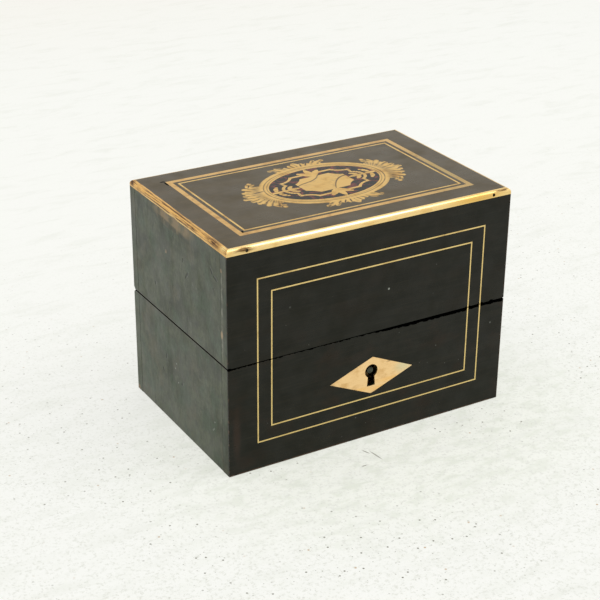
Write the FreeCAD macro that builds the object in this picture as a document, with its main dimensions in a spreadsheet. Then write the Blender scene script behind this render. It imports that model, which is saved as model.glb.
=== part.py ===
import FreeCAD, Part
import math
import os
import re

import Sketcher

# Perfume casket with a fall-back lid: an ebonised box of thin boards with brass
# stringing, a brass and tortoiseshell cartouche on the lid, a small box lock, two
# stop hinges and six square glass bottles in a lined, divided base.
# Millimetres. The origin is the middle of the underside, X runs to the right,
# Y to the back and Z up, and the lid is shut.

# Driving sizes: name, size, what it is
SIZES = (
    ("box_width", 130.0, "outside width"),
    ("box_depth", 84.0, "outside depth"),
    ("box_height", 96.5, "outside height"),
    ("seam_height", 47.4, "height of the hinge axis and of the middle of the seam"),
    ("seam_gap", 0.4, "gap between the rims of base and lid"),
    ("wall_board", 4.4, "thickness of the wall boards"),
    ("floor_board", 4.4, "thickness of the bottom board"),
    ("top_board", 4.4, "thickness of the board of the lid's top"),
    ("veneer", 0.7, "thickness of the ebony veneer on front and top"),
    ("inlay_depth", 0.5, "how deep strings and inlays are let into the veneer"),
    ("moulding_height", 2.6, "height of the brass moulding"),
    ("moulding_radius", 1.8, "depth of the moulding and radius of its round"),
    ("pin_radius", 0.65, "radius of the moulding's pins"),
    ("pin_inset", 8.6, "pin to the end of the box"),
    ("pin_rise", 1.1, "pin above the moulding's lower edge"),
    ("pin_sink", 0.5, "pin head behind the front of the box"),
    ("pin_length", 6.0, "length of a moulding pin"),
    ("string_width", 0.55, "width of a brass string"),
    ("string_side", 12.3, "outer string to the side of the box, before the strings' own shift"),
    ("string_right", 0.35, "middle of the strings to the right of the middle of the box"),
    ("string_low", 11.8, "outer string to the foot of the box"),
    ("string_high", 13.7, "outer string to the top of the box"),
    ("string_step", 6.1, "outer string to inner string"),
    ("lozenge_length", 39.3, "escutcheon, tip to tip"),
    ("lozenge_height", 16.5, "escutcheon, tip to tip"),
    ("lozenge_drop", 1.95, "escutcheon's middle below the middle of the keyhole's round"),
    ("lozenge_right", 0.3, "escutcheon's middle to the right of the keyhole"),
    ("lozenge_turn", 1.5, "degrees by which the escutcheon's right tip is turned down"),
    ("key_drop", 17.2, "middle of the keyhole's round and of the drill pin below the base's rim"),
    ("keyhole_radius", 3.0, "round part of the keyhole"),
    ("keyhole_reach", 6.7, "middle of the keyhole's round to its lower end"),
    ("keyhole_neck", 2.8, "width of the keyhole's slot at the top"),
    ("keyhole_flare", 3.8, "width of the keyhole's slot at the foot"),
    ("keyhole_ease", 0.1, "keyhole in the wood past the escutcheon's, all round"),
    ("drill_pin_sink", 0.2, "end of the drill pin behind the front board's face"),
    ("drill_pin_radius", 1.4, "radius of the pin that a piped key turns on"),
    ("band_side", 11.2, "brass band on the lid to the side of the box"),
    ("band_end", 10.1, "brass band on the lid to the front and the back"),
    ("band_width", 2.2, "width of the brass band"),
    ("line_gap", 1.5, "band to the thin line inside it"),
    ("line_width", 0.8, "width of the thin line"),
    ("oval_length", 57.8, "brass oval along the lid, outside"),
    ("oval_room", 6.7, "brass oval to the thin line in front of it and behind it"),
    ("oval_band", 4.2, "width of the brass oval"),
    ("oval_right", 2.6, "middle of the oval to the right of the middle of the lid"),
    ("oval_back", 0.2, "middle of the oval to the back of the middle of the lid"),
    ("oval_turn", 2.3, "degrees by which the hand-laid oval is turned"),
    ("ribbon_length", 38.2, "wavy ribbon, along the lid, on its middle line"),
    ("ribbon_depth", 22.4, "wavy ribbon, across the lid, on its middle line"),
    ("ribbon_width", 1.3, "width of the wavy ribbon"),
    ("plaque_length", 23.3, "brass plaque along the lid"),
    ("plaque_depth", 16.2, "brass plaque across the lid"),
    ("leaf_unit", 1.0, "one unit of the tables that the leaves are drawn by"),
    ("hinge_inset", 27.0, "middle of a hinge to the side of the box"),
    ("hinge_length", 16.0, "length of a hinge"),
    ("hinge_middle", 5.8, "length of the lid's knuckle"),
    ("knuckle_gap", 0.2, "end gap between knuckles"),
    ("knuckle_radius", 1.2, "outside radius of a knuckle"),
    ("hinge_pin_radius", 0.5, "radius of a hinge pin"),
    ("pin_play", 0.05, "radial play of a hinge pin in its knuckles"),
    ("knuckle_room", 0.3, "room between a knuckle and the wood"),
    ("leaf_thickness", 0.8, "thickness of a hinge leaf"),
    ("bevel_depth", 1.2, "hinge axis and foot of the stop bevel to the back"),
    ("stop_angle", 96.0, "how far the lid opens before its bevel meets the base's"),
    ("hinge_screw_spread", 5.2, "hinge screw to the middle of the hinge"),
    ("screw_head_radius", 0.75, "radius of a small screw's head"),
    ("screw_head_depth", 0.5, "depth of a small screw's head"),
    ("screw_shank_radius", 0.45, "radius of a small screw's shank"),
    ("screw_length", 4.0, "length of a hinge or striker screw"),
    ("lock_screw_length", 3.6, "length of a lock screw"),
    ("screw_slot", 0.3, "width and depth of a screw's slot"),
    ("lining", 0.6, "thickness of the silk on floor and walls"),
    ("lining_drop", 1.0, "edge of the lining to the rim"),
    ("divider", 2.0, "thickness of the dividers"),
    ("divider_height", 30.0, "height of the dividers"),
    ("lid_pad_depth", 2.6, "thickness of the padded silk in the lid"),
    ("pad_room", 0.3, "room round the pad"),
    ("lock_width", 26.0, "width of the lock's case"),
    ("lock_height", 24.6, "height of the lock's case"),
    ("lock_depth", 2.8, "depth of the lock's case"),
    ("lock_wall", 0.5, "wall of the lock's case"),
    ("lock_flange", 2.0, "lock's plate past its case, each side and below"),
    ("plate_thickness", 0.8, "thickness of the lock's plates"),
    ("bolt_thickness", 1.4, "thickness of the bolt and of the hooks"),
    ("bolt_length", 20.0, "length of the bolt"),
    ("bolt_height", 4.6, "height of the bolt's bar"),
    ("bolt_drop", 7.2, "top of the bolt's bar below the base's rim"),
    ("bolt_travel", 1.5, "travel of the bolt"),
    ("boss_width", 2.8, "width of the bolt's boss that the bow spring rides on"),
    ("talon_width", 4.4, "notch in the bolt for the key's bit"),
    ("talon_height", 1.8, "height of that notch"),
    ("stud_radius", 0.6, "radius of the bolt's guide studs"),
    ("stud_play", 0.05, "play of the studs in the bolt's slots"),
    ("stud_spread", 5.5, "guide stud to the middle of the lock"),
    ("hook_spread", 6.5, "hook to the middle of the lock"),
    ("hook_width", 1.4, "width of a hook's post and of its toe"),
    ("hook_toe", 1.2, "height of a hook's toe"),
    ("hook_drop", 5.2, "foot of a hook below the lid's rim"),
    ("hook_room", 0.3, "room round a hook"),
    ("tooth_gap", 0.2, "bolt's tooth above the hook's toe"),
    ("tooth_height", 1.2, "height of a tooth"),
    ("spring_radius", 3.3, "outer radius of the bolt's bow spring"),
    ("spring_thickness", 0.3, "thickness of the bow spring"),
    ("spring_rest", 0.1, "bow spring above the bolt's boss"),
    ("spring_side", 0.4, "bow spring to the hook beside it"),
    ("bottle_room", 1.325, "square bottle to the sides of its well, where it is closest"),
    ("bottle_body", 46.0, "height of a bottle's body with its sloping shoulder"),
    ("bottle_chamfer", 3.0, "chamfer of a bottle's corners"),
    ("shoulder", 5.0, "height and run of the sloping shoulder"),
    ("glass", 3.0, "thickness of a bottle's walls"),
    ("bottle_foot", 5.0, "thickness of a bottle's foot"),
    ("neck_radius", 6.4, "outside radius of the neck"),
    ("neck_bore", 4.2, "radius of the neck's bore"),
    ("neck_height", 6.0, "height of the neck"),
    ("lip_radius", 8.6, "radius of the lip"),
    ("lip_height", 2.0, "height of the lip"),
    ("stopper_play", 0.1, "radial play of a stopper's plug in the neck"),
    ("plug_taper", 0.3, "how much narrower the plug's foot is, in radius"),
    ("plug_length", 7.0, "length of the plug"),
    ("collar_radius", 5.2, "radius of the collar under a stopper's knob"),
    ("collar_height", 1.6, "height of that collar"),
    ("knob_radius", 7.6, "radius over the corners of the cut knob"),
    ("knob_height", 13.0, "height of the knob"),
    ("knob_chamfer", 3.2, "sloping facets at the knob's top and foot"),
)

os.makedirs("parts", exist_ok=True)
doc = FreeCAD.newDocument("perfume_box")
sheet = doc.addObject("Spreadsheet::Sheet", "sizes")
for row, (alias, number, note) in enumerate(SIZES, start=1):
    sheet.set(f"A{row}", note)
    sheet.set(f"B{row}", str(number))
    sheet.setAlias(f"B{row}", alias)
doc.recompute()

ALIASES = {alias for alias, number, note in SIZES}
PIECES = []

# Faces and edges that several pieces share, as expressions of the driving sizes
LEFT = "(-box_width / 2)"
RIGHT = "(box_width / 2)"
FRONT = "(-box_depth / 2)"
BACK = "(box_depth / 2)"
LEFT_INNER = "(-box_width / 2 + wall_board)"
RIGHT_INNER = "(box_width / 2 - wall_board)"
BOARD_FRONT = "(-box_depth / 2 + veneer)"
FRONT_INNER = "(-box_depth / 2 + veneer + wall_board)"
BACK_INNER = "(box_depth / 2 - wall_board)"
MIDDLE_Y = "(veneer / 2)"
BASE_RIM = "(seam_height - seam_gap / 2)"
KEY_RISE = "(seam_height - seam_gap / 2 - key_drop)"
KEYHOLE_FOOT = "(seam_height - seam_gap / 2 - key_drop - keyhole_reach)"
LOZENGE_RISE = "(seam_height - seam_gap / 2 - key_drop - lozenge_drop)"
LID_RIM = "(seam_height + seam_gap / 2)"
MOULDING_FOOT = "(box_height - moulding_height)"
MOULDING_SPRING = "(box_height - moulding_radius)"
VENEER_FOOT = "(box_height - veneer)"
CEILING = "(box_height - veneer - top_board)"
AXIS_Y = "(box_depth / 2 - bevel_depth)"
FLOOR = "(floor_board + lining)"


def size(alias):
    """The number that the sheet holds under a name."""
    return float(sheet.get(alias))


def bound(expression):
    """An expression of driving sizes in the form that the document reads."""
    def cell(word):
        return "sizes." + word.group() if word.group() in ALIASES else word.group()

    return re.sub(r"[a-z_]+", cell, str(expression))


def bind(item, **expressions):
    """Binds properties of an object to expressions of the driving sizes."""
    for name, expression in expressions.items():
        item.setExpression(name, bound(expression))
    return item


def put(item, at, rotation=None):
    """Turns an object, then binds its place."""
    if rotation is not None:
        item.Placement = FreeCAD.Placement(FreeCAD.Vector(), rotation)
    for axis, expression in zip("xyz", at):
        item.setExpression(f"Placement.Base.{axis}", bound(expression))
    return item


def block(name, low, high):
    """A box from its lowest to its highest corner."""
    item = doc.addObject("Part::Box", name)
    spans = [f"({far}) - ({near})" for near, far in zip(low, high)]
    bind(item, Length=spans[0], Width=spans[1], Height=spans[2])
    return put(item, low)


TURNS = {
    "X": FreeCAD.Rotation(FreeCAD.Vector(0, 1, 0), 90),
    "Y": FreeCAD.Rotation(FreeCAD.Vector(1, 0, 0), -90),
    "Z": FreeCAD.Rotation(),
}


def rod(name, radius, length, at, along="Z"):
    """A cylinder that starts at a point and runs along a positive axis."""
    item = doc.addObject("Part::Cylinder", name)
    bind(item, Radius=radius, Height=length)
    return put(item, at, TURNS[along])


def cone(name, first, last, length, at, rotation):
    """A cone from its first radius to its last."""
    item = doc.addObject("Part::Cone", name)
    bind(item, Radius1=first, Radius2=last, Height=length)
    return put(item, at, rotation)


def fuse(name, *parts):
    """One solid of several, or the solid itself where there is only one."""
    if len(parts) == 1:
        return parts[0]
    item = doc.addObject("Part::MultiFuse", name)
    item.Shapes = list(parts)
    item.Refine = True
    return item


def cut(name, base, *tools):
    """A solid with others taken out of it."""
    for index, tool in enumerate(tools[:-1]):
        step = doc.addObject("Part::Cut", f"{name}_step_{index + 1}")
        step.Base = base
        step.Tool = tool
        base = step
    item = doc.addObject("Part::Cut", name)
    item.Base = base
    item.Tool = tools[-1]
    item.Refine = True
    return item


def common(name, first, second):
    """What two solids share."""
    item = doc.addObject("Part::Common", name)
    item.Base = first
    item.Tool = second
    return item


def group(name, *parts):
    """Separate solids of one kind, kept together under one name."""
    item = doc.addObject("Part::Compound", name)
    item.Links = list(parts)
    return item


def piece(item):
    """Marks an object as a finished piece of the casket."""
    PIECES.append(item)
    return item


def plane_of(body, role):
    """One of a body's own origin planes."""
    return next(item for item in body.Origin.OriginFeatures if item.Role == role)


def outline(body, name, corners, role="XY_Plane"):
    """A closed sketch through corners that are pairs of expressions."""
    sketch = body.newObject("Sketcher::SketchObject", name)
    sketch.AttachmentSupport = [(plane_of(body, role), "")]
    sketch.MapMode = "FlatFace"
    count = len(corners)
    for index in range(count):
        # A first shape of any size: the bound distances then move its corners
        here = FreeCAD.Vector(*rough_corner(index, count))
        there = FreeCAD.Vector(*rough_corner(index + 1, count))
        sketch.addGeometry(Part.LineSegment(here, there), False)
    for index in range(count):
        sketch.addConstraint(Sketcher.Constraint("Coincident", index, 2, (index + 1) % count, 1))
    for index, (across, up) in enumerate(corners):
        for kind, expression in (("DistanceX", across), ("DistanceY", up)):
            start = rough_corner(index, count)[0 if kind == "DistanceX" else 1]
            number = sketch.addConstraint(Sketcher.Constraint(kind, -1, 1, index, 1, start))
            sketch.setExpression(f"Constraints[{number}]", bound(expression))
    return sketch


def rough_corner(index, count):
    """A corner of the regular outline that a sketch starts from."""
    turn = 2 * math.pi * (index + 0.5) / count
    return 10 * math.cos(turn), 10 * math.sin(turn), 0


def slab(name, corners, foot, height):
    """A flat piece whose plan is a closed outline, standing on a height."""
    body = doc.addObject("PartDesign::Body", name)
    sketch = outline(body, f"{name}_plan", corners)
    pad = body.newObject("PartDesign::Pad", f"{name}_pad")
    pad.Profile = sketch
    bind(pad, Length=height)
    return put(body, ("0", "0", foot))


def upright(name, corners, front, depth):
    """A piece cut from plate that stands across the box: its outline is in X and Z."""
    body = doc.addObject("PartDesign::Body", name)
    sketch = outline(body, f"{name}_face", corners, "XZ_Plane")
    pad = body.newObject("PartDesign::Pad", f"{name}_pad")
    pad.Profile = sketch
    pad.Reversed = True
    bind(pad, Length=depth)
    return put(body, ("0", front, "0"))


# Boards of the base and of the lid

def stop_bevel(name, side):
    """The wedge of room behind the hinge axis, under (side -1) or over (side 1) the seam."""
    item = doc.addObject("Part::Box", name)
    bind(item, Length="box_width", Width="wall_board", Height="wall_board")
    # A start angle of any size: the bound angle replaces it
    turn = FreeCAD.Rotation(FreeCAD.Vector(side, 0, 0), 40)
    if side < 0:
        put(item, (LEFT, AXIS_Y, "seam_height"), turn)
    else:
        put(item, (LEFT, f"{AXIS_Y} + wall_board * sin(stop_angle / 2)",
                   "seam_height - wall_board * cos(stop_angle / 2)"), turn)
    return bind(item, **{"Placement.Rotation.Angle": "stop_angle / 2"})


def hinge_centres():
    """The middles of the two hinges, left and right."""
    return (("left", "(-box_width / 2 + hinge_inset)"), ("right", "(box_width / 2 - hinge_inset)"))


def hinge_room(name, half):
    """What is cut from a back board for one half of the two hinges."""
    parts = []
    low, high = leaf_heights(half)
    for side, middle in hinge_centres():
        start = f"{middle} - hinge_length / 2"
        parts.append(rod(f"{name}_barrel_{side}", "knuckle_radius + knuckle_room",
                         "hinge_length + 2 * knuckle_room",
                         (f"{start} - knuckle_room", AXIS_Y, "seam_height"), "X"))
        parts.append(block(f"{name}_leaf_{side}", (start, BACK_INNER, low),
                           (f"{start} + hinge_length", AXIS_Y, high)))
        parts.extend(screw_holes(f"{name}_{side}", middle, half))
    return fuse(name, *parts)


def leaf_heights(half):
    """Under and upper side of a hinge leaf that lies flush in its rim."""
    if half == "base":
        return f"({BASE_RIM} - leaf_thickness)", BASE_RIM
    return LID_RIM, f"({LID_RIM} + leaf_thickness)"


def hinge_screw_places(middle):
    """X and Y of the two screws of a hinge leaf."""
    across = f"({AXIS_Y} / 2 + {BACK_INNER} / 2 - knuckle_radius / 2)"
    return [(f"({middle} + {side} * hinge_screw_spread)", across) for side in (-1, 1)]


def screw_holes(name, middle, half):
    """Holes for the shanks of the two screws of a hinge leaf."""
    holes = []
    for index, (across, deep) in enumerate(hinge_screw_places(middle)):
        foot = f"({BASE_RIM} - screw_length)" if half == "base" else LID_RIM
        holes.append(rod(f"{name}_hole_{index + 1}", "screw_shank_radius", "screw_length",
                         (across, deep, foot)))
    return holes


base_low = (LEFT, BOARD_FRONT, "0")
lock_left = "(-lock_width / 2)"
lock_right = "(lock_width / 2)"
PLATE_FACE = f"({FRONT_INNER} + lining)"
PLATE_BACK = f"({FRONT_INNER} + lining - plate_thickness)"
CASE_FRONT = f"({FRONT_INNER} + lining - plate_thickness - lock_depth)"
SELVEDGE_FOOT = f"({BASE_RIM} - plate_thickness)"
CASE_FOOT = f"({BASE_RIM} - plate_thickness - lock_height)"
PLATE_LEFT = "(-lock_width / 2 - lock_flange)"
PLATE_RIGHT = "(lock_width / 2 + lock_flange)"
PLATE_FOOT = f"({CASE_FOOT} - lock_flange / 2)"


def keyhole(name, front, depth, grow="0"):
    """The keyhole's room: a round part over a slot that widens to its foot."""
    slot = upright(f"{name}_slot", (
        (f"-keyhole_neck / 2 - {grow}", KEY_RISE),
        (f"-keyhole_flare / 2 - {grow}", f"{KEYHOLE_FOOT} - {grow}"),
        (f"keyhole_flare / 2 + {grow}", f"{KEYHOLE_FOOT} - {grow}"),
        (f"keyhole_neck / 2 + {grow}", KEY_RISE),
    ), front, depth)
    ring = rod(f"{name}_round", f"keyhole_radius + {grow}", depth, ("0", front, KEY_RISE), "Y")
    return fuse(name, slot, ring)


def lock_screw_places():
    """X and Z of the four screws in the lock's plate."""
    across = "(lock_width / 2 + lock_flange / 2)"
    low = f"({CASE_FOOT} + lock_flange)"
    high = f"({SELVEDGE_FOOT} - lock_flange)"
    return [(f"({side} * {across})", height) for side in (-1, 1) for height in (low, high)]


def lock_screw_rods(name):
    """Room for the shanks of the lock's screws, in plate and board."""
    start = f"({PLATE_FACE} - lock_screw_length)"
    return [rod(f"{name}_{index + 1}", "screw_shank_radius", "lock_screw_length",
                (across, start, height), "Y")
            for index, (across, height) in enumerate(lock_screw_places())]


base_front_blank = block("base_front_blank", base_low, (RIGHT, FRONT_INNER, BASE_RIM))
lock_room = fuse(
    "lock_room",
    block("case_room", (lock_left, CASE_FRONT, CASE_FOOT), (lock_right, FRONT_INNER, BASE_RIM)),
    block("plate_room", (PLATE_LEFT, PLATE_BACK, PLATE_FOOT), (PLATE_RIGHT, FRONT_INNER, BASE_RIM)),
    block("selvedge_room", (PLATE_LEFT, CASE_FRONT, SELVEDGE_FOOT), (PLATE_RIGHT, FRONT_INNER, BASE_RIM)),
    *lock_screw_rods("lock_hole"),
)
board_keyhole = keyhole("board_keyhole", BOARD_FRONT, "wall_board", "keyhole_ease")
piece(cut("base_front_board", base_front_blank, lock_room, board_keyhole))

base_back_blank = block("base_back_blank", (LEFT, BACK_INNER, "0"), (RIGHT, BACK, BASE_RIM))
piece(cut("base_back_board", base_back_blank, stop_bevel("base_bevel", -1),
          hinge_room("base_hinge_room", "base")))
piece(block("base_left_board", (LEFT, FRONT_INNER, "0"), (LEFT_INNER, BACK_INNER, BASE_RIM)))
piece(block("base_right_board", (RIGHT_INNER, FRONT_INNER, "0"), (RIGHT, BACK_INNER, BASE_RIM)))
piece(block("base_bottom_board", (LEFT_INNER, FRONT_INNER, "0"), (RIGHT_INNER, BACK_INNER, "floor_board")))

lid_front_blank = block("lid_front_blank", (LEFT, BOARD_FRONT, LID_RIM), (RIGHT, FRONT_INNER, MOULDING_FOOT))
striker_room = fuse(
    "striker_room",
    block("striker_bed", (PLATE_LEFT, CASE_FRONT, LID_RIM),
          (PLATE_RIGHT, FRONT_INNER, f"{LID_RIM} + plate_thickness")),
    *[rod(f"striker_hole_{side + 2}", "screw_shank_radius", "screw_length",
          (f"{side} * (lock_width / 2)", f"({CASE_FRONT} + {FRONT_INNER}) / 2", LID_RIM))
      for side in (-1, 1)],
)
piece(cut("lid_front_board", lid_front_blank, striker_room))

lid_back_blank = block("lid_back_blank", (LEFT, BACK_INNER, LID_RIM), (RIGHT, BACK, MOULDING_FOOT))
piece(cut("lid_back_board", lid_back_blank, stop_bevel("lid_bevel", 1),
          hinge_room("lid_hinge_room", "lid")))
piece(block("lid_left_board", (LEFT, FRONT_INNER, LID_RIM), (LEFT_INNER, BACK_INNER, MOULDING_FOOT)))
piece(block("lid_right_board", (RIGHT_INNER, FRONT_INNER, LID_RIM), (RIGHT, BACK_INNER, MOULDING_FOOT)))

# The lid's top board sits between the walls and laps over them
LAP_LEFT = "(-box_width / 2 + moulding_radius)"
LAP_RIGHT = "(box_width / 2 - moulding_radius)"
LAP_FRONT = "(-box_depth / 2 + moulding_radius)"
LAP_BACK = "(box_depth / 2 - moulding_radius)"
top_blank = fuse(
    "lid_top_blank",
    block("top_inner", (LEFT_INNER, FRONT_INNER, CEILING), (RIGHT_INNER, BACK_INNER, VENEER_FOOT)),
    block("top_lap", (LAP_LEFT, LAP_FRONT, MOULDING_FOOT), (LAP_RIGHT, LAP_BACK, VENEER_FOOT)),
)

# Brass quarter round on the four top edges, mitred at the corners and pinned

PIN_HEIGHT = f"({MOULDING_FOOT} + pin_rise)"
moulding_pins = group("moulding_pins", *[
    rod(f"moulding_pin_{end}_{side + 2}", "pin_radius", "pin_length",
        (f"{side} * (box_width / 2 - pin_inset)", start, PIN_HEIGHT), "Y")
    for end, start in (("front", f"{FRONT} + pin_sink"), ("back", f"{BACK} - pin_sink - pin_length"))
    for side in (-1, 1)
])
pin_holes = group("moulding_pin_holes", *[
    rod(f"moulding_hole_{end}_{side + 2}", "pin_radius", "pin_length + pin_sink",
        (f"{side} * (box_width / 2 - pin_inset)", start, PIN_HEIGHT), "Y")
    for end, start in (("front", FRONT), ("back", f"{BACK} - pin_sink - pin_length"))
    for side in (-1, 1)
])
piece(cut("lid_top_board", top_blank, pin_holes))
piece(moulding_pins)


def mitred_plan(side, left, right, front, back, width):
    """Corners of one of four strips that lie round a rectangle, cut at 45 degrees."""
    outer = {"front": (left, front), "right": (right, front), "back": (right, back), "left": (left, back)}
    in_left, in_right = f"{left} + {width}", f"{right} - {width}"
    in_front, in_back = f"{front} + {width}", f"{back} - {width}"
    inner = {"front": (in_left, in_front), "right": (in_right, in_front),
             "back": (in_right, in_back), "left": (in_left, in_back)}
    # Each side starts at its own corner and ends at the next one's
    following = {"front": "right", "right": "back", "back": "left", "left": "front"}[side]
    return outer[side], outer[following], inner[following], inner[side]


# For each side: where the quarter round starts, the two directions it bulges in, its length
X_AXIS = FreeCAD.Vector(1, 0, 0)
Y_AXIS = FreeCAD.Vector(0, 1, 0)
Z_AXIS = FreeCAD.Vector(0, 0, 1)
ROUNDS = {
    "front": ((LEFT, LAP_FRONT), (Z_AXIS, -Y_AXIS, X_AXIS), "box_width"),
    "back": ((LEFT, LAP_BACK), (Y_AXIS, Z_AXIS, X_AXIS), "box_width"),
    "left": ((LAP_LEFT, FRONT), (-X_AXIS, Z_AXIS, Y_AXIS), "box_depth"),
    "right": ((LAP_RIGHT, FRONT), (Z_AXIS, X_AXIS, Y_AXIS), "box_depth"),
}
for side, (start, axes, run) in ROUNDS.items():
    quarter = doc.addObject("Part::Cylinder", f"moulding_{side}_round")
    bind(quarter, Radius="moulding_radius", Height=run, Angle="90")
    put(quarter, (*start, MOULDING_SPRING), FreeCAD.Rotation(*axes, "ZXY"))
    straight = block(f"moulding_{side}_straight", (LEFT, FRONT, MOULDING_FOOT),
                     (RIGHT, BACK, MOULDING_SPRING))
    plan = slab(f"moulding_{side}_plan", mitred_plan(side, LEFT, RIGHT, FRONT, BACK, "moulding_radius"),
                MOULDING_FOOT, "moulding_height")
    if side in ("front", "back"):
        strip = common(f"moulding_{side}_strip", plan, fuse(f"moulding_{side}_blank", quarter, straight))
        piece(cut(f"moulding_{side}", strip, pin_holes))
    else:
        piece(common(f"moulding_{side}", plan, fuse(f"moulding_{side}_blank", quarter, straight)))

# Brass band of four mitred strips, and the thin line inside it, let into the lid's veneer

INLAY_FOOT = "(box_height - inlay_depth)"


def frame_strips(name, side_inset, end_inset, width):
    """Four mitred strips round the middle of the lid."""
    left = f"({LEFT} + {side_inset})"
    right = f"({RIGHT} - {side_inset})"
    front = f"({FRONT} + {end_inset})"
    back = f"({BACK} - {end_inset})"
    strips = [slab(f"{name}_{side}", mitred_plan(side, left, right, front, back, width),
                   INLAY_FOOT, "inlay_depth")
              for side in ("front", "right", "back", "left")]
    return group(name, *strips)


LINE_STEP = "(band_width + line_gap)"
top_band = piece(frame_strips("top_band", "band_side", "band_end", "band_width"))
top_line = piece(frame_strips("top_line", f"(band_side + {LINE_STEP})", f"(band_end + {LINE_STEP})",
                              "line_width"))

# Cartouche: brass oval with acanthus at its ends, on a tortoiseshell ground

half_length = size("oval_length") / 2
half_depth = size("box_depth") / 2 - size("band_end") - size("band_width") - size("line_gap") \
    - size("line_width") - size("oval_room")
unit = size("leaf_unit")
lid_top = size("box_height")
lid_inlay = size("inlay_depth")


def leaf(base, tip, width, bow=0.0):
    """A leaf between two arcs. The bow bends it to the left of its own direction."""
    start = FreeCAD.Vector(*base, 0)
    end = FreeCAD.Vector(*tip, 0)
    along = end - start
    left = FreeCAD.Vector(-along.y, along.x, 0).normalize()
    middle = (start + end) * 0.5
    outer = Part.Arc(start, middle + left * (bow + width / 2), end).toShape()
    inner = Part.Arc(end, middle + left * (bow - width / 2), start).toShape()
    return Part.Face(Part.Wire([outer, inner]))


def disc(centre, radius):
    """A round face."""
    return Part.Face(Part.Wire(Part.Circle(FreeCAD.Vector(*centre, 0), Z_AXIS, radius).toShape()))


def oval(half_x, half_y, centre=(0, 0)):
    """An oval face, longer along X or along Y."""
    if half_x >= half_y:
        curve = Part.Ellipse(FreeCAD.Vector(*centre, 0), half_x, half_y).toShape()
        return Part.Face(Part.Wire(curve))
    curve = Part.Ellipse(FreeCAD.Vector(), half_y, half_x).toShape()
    curve.rotate(FreeCAD.Vector(), Z_AXIS, 90)
    curve.translate(FreeCAD.Vector(*centre, 0))
    return Part.Face(Part.Wire(curve))


def thick(faces):
    """Flat faces as one solid of the inlay's depth, under the lid's top."""
    drop = FreeCAD.Vector(0, 0, -lid_inlay)
    solids = [face.translated(FreeCAD.Vector(0, 0, lid_top)).extrude(drop) for face in faces]
    if len(solids) == 1:
        return solids[0]
    return solids[0].fuse(solids[1:]).removeSplitter()


def mirrored(shape, normal):
    """A shape's mirror image in a plane through the middle of the lid."""
    return shape.mirror(FreeCAD.Vector(), normal)


def both_ways(faces, normal):
    """Faces with their mirror images."""
    return list(faces) + [mirrored(face, normal) for face in faces]


# Palmette past the oval's right end: start, tip, width, bow, in leaf units from the oval's end
PALMETTE = (
    ((-3.2, 1.2), (7.7, 3.3), 3.4, 0.2),
    ((-3.4, 2.4), (6.4, 6.4), 3.8, 0.2),
    ((-3.6, 3.8), (4.2, 10.2), 3.6, 0.2),
)
PALMETTE_LOBE = 1.1
PALMETTE_CURL = (
    ((0.2, 4.0), (-1.4, 15.1), 3.6, -1.2),
    ((-0.4, 14.6), (-3.1, 12.3), 2.0, 0.9),
)
PALMETTE_EYE = (-1.3, 13.9)
PALMETTE_EYE_RADIUS = 1.2
PALMETTE_MID = ((-3.0, 0.0), (9.3, 0.0), 4.6)
PALMETTE_BODY = (-0.6, 7.2, 10.6)

# Cresting over the oval's middle, in leaf units from the oval's edge
CREST = (
    ((0.6, -1.6), (3.2, 2.8), 3.0, 0.2),
    ((3.0, -2.0), (5.6, 1.7), 2.8, 0.1),
    ((7.4, -3.0), (9.4, 3.3), 3.2, 0.3),
)
CREST_LOBE = 0.9
CREST_CURL = ((6.6, -3.6), (12.9, 2.2), 3.0, 0.6)
CREST_EYE = (12.6, 1.5)
CREST_EYE_RADIUS = 1.1
CREST_MID = ((0.0, -2.0), (0.0, 4.6), 4.2)
CREST_BODY = (12.2, 6.3, -4.2)


# How far a leaf's tip lies inside its lobe, in leaf units
LOBE_LAP = 0.15


def moved(point, right=0.0, back=0.0):
    """A point of the leaf tables, in its place on the lid."""
    return point[0] * unit + right, point[1] * unit + back


def table_leaf(entry, right=0.0, back=0.0):
    """A leaf of the tables: start, tip, width and, where it bends, its bow."""
    start, tip, width, *bow = entry
    return leaf(moved(start, right, back), moved(tip, right, back), width * unit, sum(bow) * unit)


def lobed(entries, lobe, right=0.0, back=0.0):
    """Leaves of a table, each with a round lobe over its tip."""
    faces = []
    for entry in entries:
        start, tip = entry[:2]
        share = 1 - (lobe - LOBE_LAP) / math.dist(start, tip)
        centre = [first + (last - first) * share for first, last in zip(start, tip)]
        faces += [table_leaf(entry, right, back), disc(moved(centre, right, back), lobe * unit)]
    return faces


def palmette():
    """The acanthus at the oval's right end."""
    at = half_length
    upper = lobed(PALMETTE, PALMETTE_LOBE, at) + [table_leaf(entry, at) for entry in PALMETTE_CURL]
    upper.append(disc(moved(PALMETTE_EYE, at), PALMETTE_EYE_RADIUS * unit))
    faces = both_ways(upper, Y_AXIS) + lobed([PALMETTE_MID], PALMETTE_LOBE, at)
    shift, half_x, half_y = PALMETTE_BODY
    faces.append(oval(half_x * unit, half_y * unit, (at + shift * unit, 0)))
    return faces


def crest():
    """The low acanthus on the oval's back edge."""
    at = half_depth
    right = lobed(CREST, CREST_LOBE, 0, at) + [table_leaf(CREST_CURL, 0, at)]
    right.append(disc(moved(CREST_EYE, 0, at), CREST_EYE_RADIUS * unit))
    faces = both_ways(right, X_AXIS) + lobed([CREST_MID], CREST_LOBE, 0, at)
    half_x, half_y, shift = CREST_BODY
    faces.append(oval(half_x * unit, half_y * unit, (0, at + shift * unit)))
    return faces


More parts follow.
